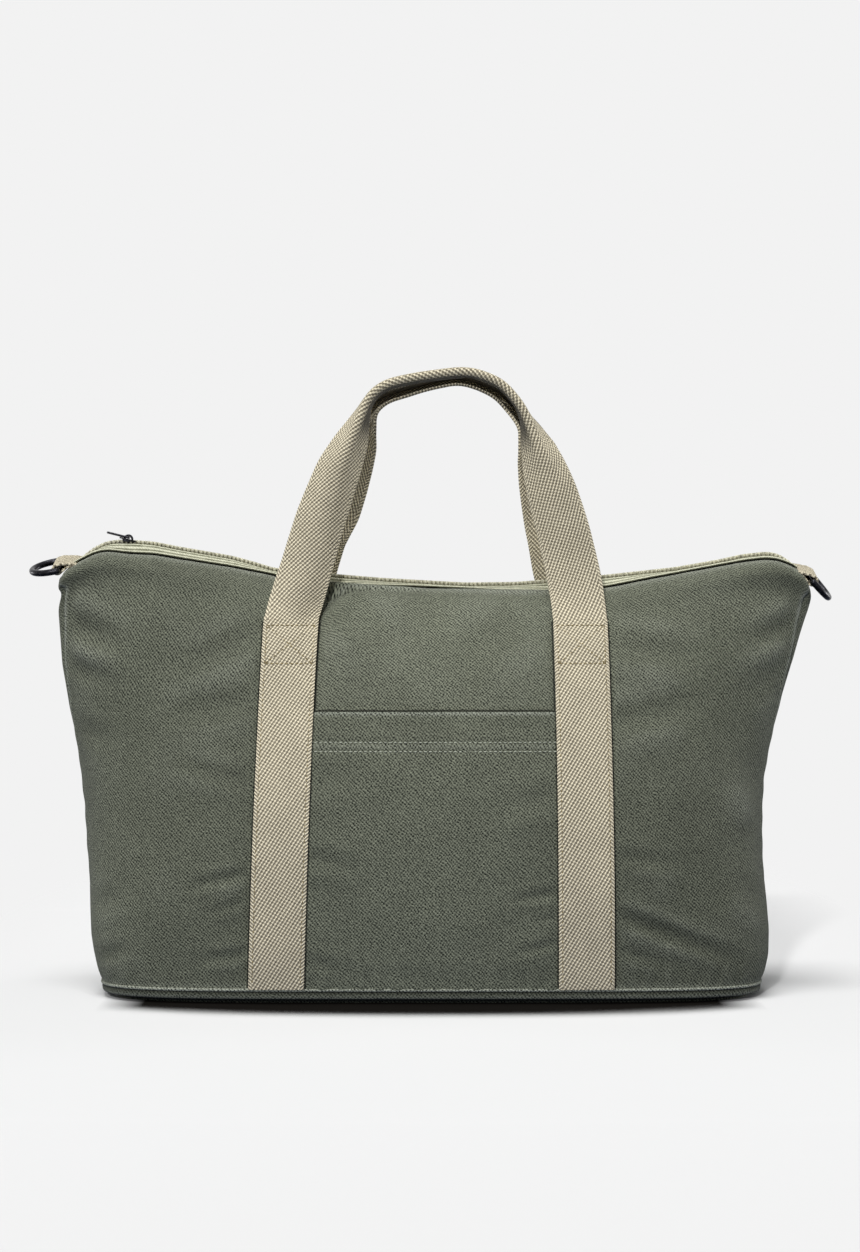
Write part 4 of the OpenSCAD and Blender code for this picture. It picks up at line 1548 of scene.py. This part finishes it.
@dataclass
class Straps(SubAssembly):
    """The four straps sewn to the canvas, from the base seam to the handles.

    Attributes:
        rows: Number of steps up a strap.
        columns: Number of steps across it.
    """

    rows: int = 116
    columns: int = 10

    def strap(self, face: Face, side: int, flat_start: float, flat_sign: float) -> bpy.types.Object:
        """Builds one strap.

        Args:
            face: Face that it is sewn to.
            side: -1 for the left strap and 1 for the right one, seen from the front.
            flat_start: Length along the webbing at the strap's head.
            flat_sign: Direction in which that length runs up the strap.

        Returns:
            The strap.
        """
        plan = self.plan
        z = np.linspace(plan.foot_z + 0.3, plan.head_z - 0.02, self.rows + 1)[:, None]
        across = np.linspace(-plan.width / 2, plan.width / 2, self.columns + 1)[None, :]
        x = plan.middle(z, side) + across
        z = z + 0.0 * x
        drawn = 0.4 * (bump(z, plan.box_high, 1.8) + bump(z, plan.box_low, 1.8))
        points = self.form.front(x, z, plan.lift_off(z) + plan.thickness / 2 - drawn)
        reach = lengths_along(points[:, self.columns // 2])
        along = flat_start + flat_sign * (reach - reach[-1])
        flat = np.stack([across * flat_sign + 0.0 * x, along[:, None] + 0.0 * x], axis=-1)
        word = "left" if side < 0 else "right"
        strap = cloth_grid(f"{face.word}_strap_{word}_webbing", face.turn(points), face.turn_flat(flat))
        shape_with(strap, "SOLIDIFY", thickness=plan.thickness * MM, offset=0.0)
        soften_sides(strap, across + 0.0 * x, plan.width / 2, 0.6)
        smooth_shade(strap, 70.0)
        dress(strap, self.wardrobe.webbing)
        hold(strap, face)
        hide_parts(f"{face.word}_strap_{word}", f"{face.word}_sewn_strap_{word}")
        return strap


# A leg of a handle that keeps to its middle line
STRAIGHT = Curve(((260, 0), (450, 0)))


@dataclass(frozen=True)
class HandleFold:
    """How a handle hangs: how far each half of its webbing is folded back, in degrees, by height.

    Attributes:
        left: Fold up the left leg.
        right: Fold up the right leg.
        left_shift: How far the left leg lies to the right of the middle line.
        right_shift: The same for the right leg.
        crest_drop: How far the crest lies below the middle line's, by place across.
    """

    left: Curve
    right: Curve
    left_shift: Curve = STRAIGHT
    right_shift: Curve = STRAIGHT
    crest_drop: Curve = Curve(((-60, 0), (80, 0)))


FRONT_FOLD = HandleFold(
    Curve(((262, 1), (280, 14), (296, 24), (334, 31), (368, 42), (389, 57), (401, 72), (411, 84), (422, 88))),
    Curve(((262, 1), (290, 7), (323, 18), (351, 30), (376, 49), (391, 66), (403, 84), (415, 90), (430, 91))),
)
BACK_FOLD = HandleFold(
    Curve(((262, 1), (300, 8), (339, 16), (370, 28), (387, 42), (401, 62), (412, 80), (430, 85)), 6.0),
    Curve(((262, 1), (300, 6), (335, 16), (360, 32), (380, 44), (392, 62), (403, 78), (430, 85)), 6.0),
    Curve(((262, 0), (300, 0.5), (322, 1), (342, 5), (362, 4), (385, 1), (400, 0)), 5.0),
    Curve(((262, 0), (285, -6), (300, -6.5), (330, -5), (365, -1), (385, 2.2), (405, 2.6), (424, 0)), 5.0),
    Curve(
        ((-60, 6), (-42, 6), (-21, 6), (0, 3.6), (17, 2.4), (32, 4.4), (48, 5.2), (64, 6.2), (80, 6.2)), 8.0
    ),
)


@dataclass
class CarryingHandle(SubAssembly):
    """One handle: the free run of webbing between two straps, folded lengthwise at the grip.

    Attributes:
        face: Face that the handle belongs to.
        stations: Number of steps along the webbing.
        columns: Number of steps across it.
        bend: Half the cloth's length in the crease where the webbing is folded flat.
        open_bend: The same where it is nearly open.
        swing: How far the handle leans back from its feet towards the middle of the bag.
        swing_rise: Height over which it leans back most.
        line: Middle line seen from the front, from the left foot to the right foot.
    """

    face: Face
    stations: int = 240
    columns: int = 20
    bend: float = 3.3
    open_bend: float = 15.0
    swing: float = 16.0
    swing_rise: float = 22.0
    line: tuple[tuple[float, float], ...] = (
        (-94.5, 275), (-90.3, 290), (-84.2, 312), (-77.9, 334), (-65.7, 368), (-56.2, 389), (-51.5, 401),
        (-47.4, 412), (-42.6, 421), (-31.5, 428.6), (-9.5, 433.2), (19.5, 437), (31, 436.4), (49.4, 429),
        (61.4, 415.4), (66.6, 406.5), (72.4, 391), (77.9, 376), (85.4, 351), (93.3, 323.5), (100.7, 290),
        (102.8, 275),
    )

    @property
    def fold(self) -> HandleFold:
        """The folds of this face's handle."""
        return FRONT_FOLD if self.face is Face.FRONT else BACK_FOLD

    def path(self) -> np.ndarray:
        """Draws the middle line.

        Returns:
            Its places across and up, smooth and evenly spaced.
        """
        plan = self.plan
        feet = [(float(plan.middle(np.array(plan.head_z), side)), plan.head_z) for side in (-1, 1)]
        knots = np.array([feet[0], *self.line, feet[1]], float)
        reach = lengths_along(knots)
        fine = np.linspace(0, reach[-1], 1400)
        raw = np.stack([np.interp(fine, reach, knots[:, k]) for k in (0, 1)], axis=1)
        kernel = np.hanning(91)
        kernel /= kernel.sum()
        padded = np.concatenate([2 * raw[0] - raw[45:0:-1], raw, 2 * raw[-1] - raw[-2:-47:-1]])
        smoothed = np.stack([np.convolve(padded[:, k], kernel, "valid") for k in (0, 1)], axis=1)
        height = smoothed[:, 1]
        rising = np.arange(len(smoothed)) <= int(np.argmax(height))
        smoothed[:, 0] += np.where(rising, self.fold.left_shift(height), self.fold.right_shift(height))
        smoothed[:, 1] -= self.fold.crest_drop(smoothed[:, 0]) * smooth((height - plan.head_z - 40.0) / 130.0)
        return even_steps(smoothed, self.stations + 1)

    def foot(self, x: np.ndarray) -> np.ndarray:
        """Returns the depth of the sewn straps' middle surface at their heads."""
        out = self.plan.lift_off(self.plan.head_z) + self.plan.thickness / 2
        return self.form.front(x, np.full_like(x, self.plan.head_z), out)[..., 1]

    def section(self, fold: np.ndarray, half: np.ndarray) -> tuple[np.ndarray, np.ndarray]:
        """Folds the webbing lengthwise about its middle line.

        Args:
            fold: Angle of each half of the webbing at each station, in a column.
            half: Places across the flat webbing, in a row.

        Returns:
            How far each point lies to the side and back.
        """
        bend = self.open_bend + (self.bend - self.open_bend) * smooth((np.degrees(fold) - 12.0) / 50.0)
        angle = fold * np.clip(np.abs(half) / bend, 0, 1)
        straight = np.maximum(np.abs(half) - bend, 0)
        side = np.minimum(np.abs(half), bend) * np.sinc(angle / math.pi) + straight * np.cos(fold)
        return np.sign(half) * side, bend / fold * (1 - np.cos(angle)) + straight * np.sin(fold)

    def build(self) -> tuple[bpy.types.Object, float]:
        """Builds the handle.

        Returns:
            The handle and the length of its middle line.
        """
        plan = self.plan
        line = self.path()
        reach = lengths_along(line)
        rise = line[:, 1] - plan.head_z
        tangent = unit(np.gradient(line, axis=0))
        lean = np.arctan2(tangent[:, 0], tangent[:, 1])
        rising = np.arange(len(line)) <= int(np.argmax(line[:, 1]))
        fold = np.radians(np.where(rising, self.fold.left(line[:, 1]), self.fold.right(line[:, 1])))[:, None]
        # Near each foot the webbing is still level, in line with the strap below
        level = smooth(rise / 30.0)
        lean = np.where(rising, lean * level, math.pi - (math.pi - lean) * level)[:, None]
        half = np.linspace(-plan.width / 2, plan.width / 2, self.columns + 1)[None, :]
        side, back = self.section(fold, half)
        x = line[:, :1] + side * np.cos(lean)
        z = line[:, 1:] - side * np.sin(lean)
        share = np.linspace(0, 1, len(line))[:, None]
        ends = self.foot(np.array([line[0, 0], line[-1, 0]]))
        centre = ends[0] * (1 - share) + ends[1] * share
        curl = (self.foot(x) - self.foot(line[:, :1])) * (1 - smooth(rise / 40.0))[:, None]
        swing = (self.swing * (1 - np.exp(-rise / self.swing_rise)) + 0.02 * rise)[:, None]
        points = np.stack([x, centre + curl + swing + back, z], axis=-1)
        across = half + 0.0 * x
        flat = np.stack([across, reach[:, None] + 0.0 * x], axis=-1)
        face = self.face
        handle = cloth_grid(f"{face.word}_handle_webbing", face.turn(points), face.turn_flat(flat))
        # Painted shade on the inner half of the grip, where the webbing is folded far over
        dirt_and_shade = 0.8 * smooth((np.degrees(fold) - 52.0) / 25.0) * smooth((half - 1.0) / 4.0)
        point_values(handle, "dirt_and_shade", dirt_and_shade.ravel())
        shape_with(handle, "SOLIDIFY", thickness=plan.thickness * MM, offset=0.0)
        soften_sides(handle, across, plan.width / 2, 0.6)
        smooth_shade(handle, 70.0)
        dress(handle, self.wardrobe.webbing)
        depth = -HANDLE_Y * MM * face.value
        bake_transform(handle, face.mouth, face.handle, start=(0, depth, 0.256), end=(0, depth, 0.296))
        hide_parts(f"{face.word}_handle")
        return handle, float(reach[-1])


# ---------------------------------------------------------------- zip


@dataclass
class Zip(SubAssembly):
    """The two zip tapes with their rows of teeth, from corner to corner.

    Attributes:
        left: Place of the zip's left end.
        right: Place of its right end.
        pitch: Distance between the teeth of a row.
        tooth_size: Size of a tooth along the zip, across it and up.
        tooth_lean: How far a tooth points askew, in degrees.
        tape_t: Thickness of the tapes.
        slider_x: Place of the slider, beyond which the rows part.
        flutter: Waviness of the tapes.
    """

    left: float = -254.0
    right: float = 260.0
    pitch: float = 3.0
    tooth_size: tuple[float, float, float] = (1.6, 3.8, 3.3)
    tooth_lean: float = 32.0
    tape_t: float = 0.7
    slider_x: float = -217.0
    flutter: Cloud = Cloud(31, 17.0)

    def line(self, step: float) -> np.ndarray:
        """Draws the zip's middle line.

        Args:
            step: Distance between its points.

        Returns:
            Its places across and up, evenly spaced.
        """
        x = np.linspace(self.left, self.right, 1200)
        points = np.stack([x, self.form.zip_line(x)], axis=1)
        count = int(lengths_along(points)[-1] / step) + 1
        return even_steps(points, count)

    def tape(self, face: Face) -> bpy.types.Object:
        """Builds one tape, from beside its teeth down inside the canvas edge.

        Args:
            face: Face that it is sewn to.

        Returns:
            The tape.
        """
        line = self.line(2.2)
        x, top = line[:, 0], line[:, 1]
        edge = self.form.edge_line(x)
        wave = self.flutter(x, np.full_like(x, 10.0 * face.value))
        tuck = np.maximum(edge + 1.7, top - 8.0 - 0.8 * wave)
        section = [
            (1.0, top - 0.9), (2.3, top - 0.4), (3.6, top - 0.5 + 0.1 * wave), (5.2, top - 1.1 + 0.2 * wave),
            (7.0, (top + tuck) / 2 + 0.5 * wave), (8.7, tuck + 1.2 + 0.4 * wave), (10.0, tuck + 0.3),
            (9.9, tuck - 0.5), (8.4, tuck - 0.6), (7.0, tuck - 1.6), (6.6, tuck - 4.0), (6.2, tuck - 14.0),
        ]
        points = np.stack([np.stack([x, np.full_like(x, -out), z], axis=1) for out, z in section])
        points = points[::-1]
        down = lengths_along(points[:, len(x) // 2])
        flat = np.stack(np.broadcast_arrays(lengths_along(line)[None, :], down[:, None]), axis=-1)
        tape = cloth_grid(f"{face.word}_zip_tape_cloth", face.turn(points), face.turn_flat(flat))
        shape_with(tape, "SUBSURF", levels=1, render_levels=1)
        shape_with(tape, "SOLIDIFY", thickness=self.tape_t * MM, offset=-1.0)
        smooth_shade(tape, 60.0)
        dress(tape, self.wardrobe.tape)
        hold(tape, face)
        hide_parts(f"{face.word}_zip_tape", "zip_end_left", "zip_end_right")
        return tape

    def tooth(self) -> bpy.types.Object:
        """Models one moulded tooth.

        Returns:
            A short rounded bar that lies along Y.
        """
        bpy.ops.object.select_all(action="DESELECT")
        bpy.ops.mesh.primitive_cube_add(size=1, location=(0, 0, 0))
        tooth = bpy.context.object
        tooth.data.transform(scaling(*self.tooth_size))
        shape_with(tooth, "BEVEL", width=0.42 * MM, segments=1, limit_method="NONE")
        return tooth

    def teeth(self, face: Face) -> bpy.types.Object:
        """Builds one row of teeth, which parts from the other row beyond the slider.

        Args:
            face: Face that it belongs to.

        Returns:
            The row.
        """
        line = self.line(self.pitch / 40)
        reach = lengths_along(line)
        offset = 0.0 if face is Face.FRONT else self.pitch / 2
        at = np.arange(2.0 + offset, reach[-1] - 3.0, self.pitch)
        before, here, after = (
            [np.interp(at + step, reach, line[:, k]) for k in (0, 1)] for step in (-1.0, 0.0, 1.0)
        )
        x, z = here
        level = np.zeros_like(x)
        forward = unit(np.stack([after[0] - before[0], level, after[1] - before[1]], axis=1))
        up = np.stack([-forward[:, 2], level, forward[:, 0]], axis=1)
        lean = math.radians(self.tooth_lean) * face.value
        turned = forward * math.cos(lean) + np.cross(up, forward) * math.sin(lean)
        out = 0.75 + smooth((self.slider_x + 4.0 - x) / 8.0)
        places = np.stack([x, -out * face.value, z + 0.5], axis=1)
        row = copies(f"{face.word}_zip_teeth_row", self.tooth(), places, axes_of(turned, up))
        dress(row, self.wardrobe.teeth)
        hold(row, face)
        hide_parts(f"{face.word}_zip_teeth")
        return row


# ---------------------------------------------------------------- rings and tabs


@dataclass
class RingTab(SubAssembly):
    """A length of webbing folded round a D-ring's bar and sewn into the corner of the bag.

    Attributes:
        word: Word of the side in the names of nodes.
        side: -1 at the left and 1 at the right.
        drop: How steeply the tab hangs from the bag, in degrees.
        length: Length of the tab from the ring's bar.
        width: Width of the webbing.
        thickness: Thickness of the webbing.
        sag: How much the tab curves down, for each square millimetre of its length.
        wire_r: Half the thickness of the ring's wire.
    """

    word: str
    side: int
    drop: float
    length: float = 17.0
    width: float = 24.0
    thickness: float = 1.5
    sag: float = 0.036
    wire_r: float = 2.3

    def build(self) -> bpy.types.Object:
        """Builds the tab about the ring's own joint.

        Returns:
            The tab.
        """
        joint = next(j for j in FRAME["joints"] if j["name"] == f"ring_{self.word}_swing")
        centre = np.array(joint["pos_m"]) / MM
        bar = unit(np.array(joint["axis"], float)) * (1 if self.side < 0 else -1)
        slope = math.radians(self.drop)
        inward = np.array([-self.side * math.cos(slope), 0.0, math.sin(slope)])
        inward = unit(inward - bar * (inward @ bar))
        up = np.cross(inward, bar) * self.side
        up = up * np.sign(up[2])
        radius = self.wire_r + self.thickness / 2 + 0.25
        top = [(self.length, 0.8), (10.5, 0.85), (7.0, 1.25), (4.0, 2.5)]
        turn = [(radius * math.sin(a), radius * math.cos(a)) for a in np.radians(np.arange(30, -211, -15))]
        profile = np.array(top + turn + [(u, -v) for u, v in reversed(top)])
        profile = even_steps(profile, 64)
        profile[:, 1] -= self.sag * np.maximum(profile[:, 0] - 3.0, 0.0) ** 2
        across = np.linspace(-self.width / 2, self.width / 2, 9)
        points = centre + inward * profile[:, None, :1] + up * profile[:, None, 1:]
        points = points + bar * across[None, :, None]
        flat = np.stack(np.broadcast_arrays(across[None, :], lengths_along(profile)[:, None]), axis=-1)
        tab = cloth_grid(f"tab_{self.word}_webbing", points, flat)
        shape_with(tab, "SOLIDIFY", thickness=self.thickness * MM, offset=0.0)
        edges = {"limit_method": "ANGLE", "angle_limit": math.radians(60)}
        shape_with(tab, "BEVEL", width=0.4 * MM, segments=2, **edges)
        with edit_mode(tab):
            face_outwards()
        smooth_shade(tab, 60.0)
        dress(tab, self.wardrobe.webbing)
        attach(tab, "bag")
        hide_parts(f"tab_{self.word}")
        return tab


# ---------------------------------------------------------------- stitching


@dataclass
class Stitching(SubAssembly):
    """Runs of thread, each made of single stitches that lie in the cloth.

    Attributes:
        pitch: Distance between the stitches.
        stitch: Length of a stitch.
        thread_r: Half the thickness of the thread.
    """

    pitch: float = 3.4
    stitch: float = 2.5
    thread_r: float = 0.46

    def model(self) -> bpy.types.Object:
        """Models one stitch.

        Returns:
            A short rounded length of thread along X.
        """
        bpy.ops.object.select_all(action="DESELECT")
        bpy.ops.mesh.primitive_uv_sphere_add(segments=6, ring_count=5, radius=0.5)
        stitch = bpy.context.object
        stitch.data.transform(scaling(self.stitch, self.thread_r * 2, self.thread_r * 1.5))
        return stitch

    def run(self, line: np.ndarray, out: np.ndarray | float) -> tuple[np.ndarray, np.ndarray]:
        """Places stitches along a line drawn on the front.

        Args:
            line: Points of the line, across and up.
            out: Height of the cloth's surface above the canvas.

        Returns:
            The places and the axes of the stitches.
        """
        reach = lengths_along(line)
        at = np.arange(self.pitch / 2, reach[-1], self.pitch)
        ends = []
        for shift in (-0.6, 0.0, 0.6):
            x, z = (np.interp(at + shift, reach, line[:, k]) for k in (0, 1))
            ends.append(self.form.front(x, z, out))
        x, z = ends[1][:, 0], ends[1][:, 2]
        return ends[1], axes_of(ends[2] - ends[0], self.form.outward(x, z))

    def box_and_cross(self, side: int) -> list[np.ndarray]:
        """Draws the box with a cross that holds the head of a strap.

        Args:
            side: -1 for the left strap and 1 for the right one.

        Returns:
            The lines of the box and of the cross.
        """
        low, high = self.plan.box_low, self.plan.box_high
        half = self.plan.width / 2 - self.plan.stitch_in

        def corner(across: float, z: float) -> list[float]:
            """Returns a point of the box, across and up."""
            return [float(self.plan.middle(np.array(z), side)) + across, z]

        a, b, c, d = corner(-half, low), corner(half, low), corner(half, high), corner(-half, high)
        return [np.array(pair) for pair in ([a, b], [b, c], [c, d], [d, a], [a, c], [b, d])]

    def straps(self, face: Face) -> bpy.types.Object:
        """Builds the stitches that hold the two straps of a face.

        Args:
            face: The face.

        Returns:
            The stitches.
        """
        plan, runs = self.plan, []
        for side in (-1, 1):
            lines = self.box_and_cross(side)
            z = np.linspace(plan.foot_z + 4, plan.box_low - 2.0, 60)
            for edge in (-1, 1):
                x = plan.middle(z, side) + edge * (plan.width / 2 - plan.stitch_in)
                lines.append(np.column_stack([x, z]))
            for line in lines:
                fine = even_steps(line, 80)
                # The thread lies a little sunk in the webbing
                runs.append(self.run(fine, plan.lift_off(fine[:, 1].mean()) + plan.thickness - 0.17))
        return self.sewn(f"{face.word}_strap_stitches", face, runs, self.wardrobe.web_thread, "webbing")

    def pocket(self) -> bpy.types.Object:
        """Builds the two rows of stitches under the pocket's mouth.

        Returns:
            The stitches.
        """
        left, right, runs = -84.0, 87.0, []
        x = np.linspace(left, right, 100)
        for z in self.patch.stitch_rows:
            at = left + np.arange(self.pitch / 2, right - left, self.pitch)
            out = np.interp(at, x, 2.55 + 1.3 * self.patch.lip(x, z))
            runs.append(self.run(np.column_stack([x, np.full_like(x, z)]), out))
        thread = self.wardrobe.canvas_thread
        return self.sewn("front_pocket_stitches", Face.FRONT, runs, thread, "canvas")

    def sewn(
        self,
        name: str,
        face: Face,
        runs: list[tuple[np.ndarray, np.ndarray]],
        material: bpy.types.Material,
        slot: str,
    ) -> bpy.types.Object:
        """Makes one piece of many stitches on a face.

        Args:
            name: Name of the piece.
            face: Face that it is on.
            runs: Places and axes of the stitches of each run, on the front.
            material: Material of the thread.
            slot: The record's slot of the thread. It is not used.

        Returns:
            The piece.
        """
        places, turns = (np.concatenate(parts) for parts in zip(*runs))
        # A mirrored stitch is the same solid, so its axes can be mirrored on both sides
        flip = np.array([1.0, float(face.value), 1.0])
        turns = turns * flip[None, :, None] * flip[None, None, :]
        piece = copies(name, self.model(), face.carry(places), turns)
        dress(piece, material)
        hold(piece, face)
        return piece


# ---------------------------------------------------------------- studio


@dataclass
class Studio:
    """The plain pale room: floor, light, background and camera.

    Attributes:
        ground: Colour of the background and of the floor away from the bag.
        near_floor: Colour of the floor by the bag.
        contact_dark: Colour of the painted contact shadow on the floor right under the edge of the bag.
        bounce: Colour that the floor reflects on to the bag.
        camera_y: Place of the camera, to the front of the bag.
        camera_z: Height of the camera.
        lens: Focal length of the camera, in millimetres.
        lamps: Name, course, strength and width in degrees of each distant lamp.
    """

    ground: str = "#f2f2f2"
    near_floor: str = "#f4f4f4"
    contact_dark: str = "#1b1917"
    bounce: str = "#6d7488"
    camera_y: float = -2000.0
    camera_z: float = 257.0
    lens: float = 80.5
    lamps: tuple[tuple[str, tuple[float, float, float], float, float], ...] = (
        ("key", (0.20, 0.90, -0.40), 1.5, 3.0),
        ("sky", (0.12, 0.20, -0.97), 2.0, 30.0),
        ("rim right", (-0.90, -0.43, -0.06), 1.25, 20.0),
        ("rim left", (0.90, -0.43, -0.06), 0.8, 20.0),
    )

    def floor(self) -> None:
        """Builds the floor, whose shadows are deep only beside the bag and fade into the background."""
        bpy.ops.object.select_all(action="DESELECT")
        bpy.ops.mesh.primitive_circle_add(vertices=96, radius=3.0, fill_type="NGON", location=(0, 0, 0))
        floor = bpy.context.object
        floor.name = "floor"
        material, tree = new_material("pale_floor")
        place = add(tree, "TexCoord", out="Object")
        sideways = add(tree, "Math", {0: add(tree, "SeparateXYZ", {0: place})}, operation="ABSOLUTE")
        # Painted contact shadow: the floor is drawn dark where ambient occlusion finds the bag close over it,
        # but not past the bag's ends
        near = add(tree, "AmbientOcclusion", {"Distance": 0.11}, out="AO", samples=32)
        contact = add(tree, "MapRange", {0: near, 1: 0.70, 2: 0.82})
        beyond = add(tree, "MapRange", {0: sideways, 1: 0.196, 2: 0.226})
        contact = add(tree, "Math", {0: contact, 1: beyond}, operation="MAXIMUM")
        shades = {0: contact, 6: colour(self.contact_dark), 7: colour(self.near_floor)}
        shaded = add(tree, "Mix", shades, **COLOURS)
        surface(material, shaded, None, {"Roughness": 0.9, "Specular IOR Level": 0.0})
        # To the sides it eases into the background's own colour
        lit = add(tree, "Emission", {"Color": colour(self.ground), "Strength": 1.0})
        share = add(tree, "MapRange", {0: sideways, 1: 0.29, 2: 0.38})
        shown = add(tree, "MixShader", {0: share, 1: tree.nodes["Principled BSDF"].outputs[0], 2: lit})
        # Light that it throws back on the bag is weaker and cooler than it looks
        dull = add(tree, "BsdfDiffuse", {"Color": colour(self.bounce)})
        seen = add(tree, "LightPath", out="Is Camera Ray")
        shown = add(tree, "MixShader", {0: seen, 1: dull, 2: shown})
        # Far from the bag it ends softly
        squeezed = add(tree, "VectorMath", {0: place, 1: (0.42, 1.0, 1.0)}, operation="MULTIPLY")
        away = add(tree, "VectorMath", {0: squeezed}, out="Value", operation="LENGTH")
        fade = add(tree, "MapRange", {0: away, 1: 0.55, 2: 1.1})
        mixed = add(tree, "MixShader", {0: fade, 1: shown, 2: add(tree, "BsdfTransparent")})
        tree.links.new(mixed, tree.nodes["Material Output"].inputs[0])
        floor.data.materials.append(material)

    def world(self) -> None:
        """Lights the room evenly, and shows the background's own colour to the camera."""
        world = bpy.data.worlds.new("studio")
        bpy.context.scene.world = world
        world.use_nodes = True
        tree = world.node_tree
        tree.nodes.remove(tree.nodes["Background"])
        seen = add(tree, "LightPath", out="Is Camera Ray")
        for name in ("Is Glossy Ray", "Is Transmission Ray"):
            seen = add(tree, "Math", {0: seen, 1: add(tree, "LightPath", out=name)}, operation="MAXIMUM")
        light = add(tree, "Background", {"Color": (0.97, 0.99, 1.0, 1.0), "Strength": 0.15})
        shown = add(tree, "Background", {"Color": colour(self.ground), "Strength": 1.0})
        mixed = add(tree, "MixShader", {0: seen, 1: light, 2: shown})
        tree.links.new(mixed, tree.nodes["World Output"].inputs[0])

    def sun(self, name: str, course: tuple[float, float, float], strength: float, width: float) -> None:
        """Adds a distant lamp, which lights the whole floor alike.

        Args:
            name: Name of the lamp.
            course: Direction in which its light runs.
            strength: Its strength in watts for each square metre.
            width: Width of its disc, in degrees.
        """
        data = bpy.data.lights.new(name, "SUN")
        data.energy, data.angle = strength, math.radians(width)
        lamp = bpy.data.objects.new(name, data)
        bpy.context.scene.collection.objects.link(lamp)
        lamp.rotation_euler = Vector(course).to_track_quat("-Z", "Y").to_euler()

    def camera(self) -> None:
        """Sets up the camera, level in front of the bag."""
        data = bpy.data.cameras.new("camera")
        data.lens, data.sensor_width = self.lens, 36.0
        camera = bpy.data.objects.new("camera", data)
        bpy.context.scene.collection.objects.link(camera)
        camera.location = (-1.0 * MM, self.camera_y * MM, self.camera_z * MM)
        camera.rotation_euler = (math.pi / 2, 0.0, 0.0)
        bpy.context.scene.camera = camera

    def build(self) -> None:
        """Builds the whole room."""
        self.floor()
        self.world()
        for lamp in self.lamps:
            self.sun(*lamp)
        self.camera()
        bpy.context.scene.view_settings.view_transform = "Standard"


# ---------------------------------------------------------------- all together


def report(piece: bpy.types.Object) -> None:
    """Logs a finished piece with its number of faces."""
    LOG.info("%s: %d faces", piece.name, len(piece.data.polygons))


def keep_cad_nodes(wardrobe: Wardrobe) -> None:
    """Dresses the CAD nodes that are shown as they are.

    Args:
        wardrobe: Materials.
    """
    dress(FRAME["nodes"]["base_board"], wardrobe.board)
    report(FRAME["nodes"]["base_board"])
    for name in ("slider_body", "slider_pull", "d_ring_left", "d_ring_right"):
        dress(FRAME["nodes"][name], wardrobe.metal)
        report(FRAME["nodes"][name])


def main() -> None:
    """Builds every piece of the bag and the room that it stands in."""
    logging.basicConfig(level=logging.INFO, format="%(name)s %(message)s")
    wardrobe = Wardrobe()
    kit = (BagForm(), StrapPlan(), PocketPlan(), wardrobe)
    body = CanvasBody(*kit)
    for face in Face:
        report(body.face_sheet(face))
    report(body.pocket())
    base = BasePanel(*kit)
    report(base.tray())
    report(base.welt())
    straps = Straps(*kit)
    for face in Face:
        handle, length = CarryingHandle(*kit, face).build()
        report(handle)
        report(straps.strap(face, -1, 0.0, 1.0))
        report(straps.strap(face, 1, length, -1.0))
    zipper = Zip(*kit)
    for face in Face:
        report(zipper.tape(face))
        report(zipper.teeth(face))
    report(RingTab(*kit, "left", -1, 30.0).build())
    report(RingTab(*kit, "right", 1, 42.0).build())
    stitching = Stitching(*kit)
    for face in Face:
        report(stitching.straps(face))
    report(stitching.pocket())
    keep_cad_nodes(wardrobe)
    Studio().build()


if __name__ == "__main__":
    main()
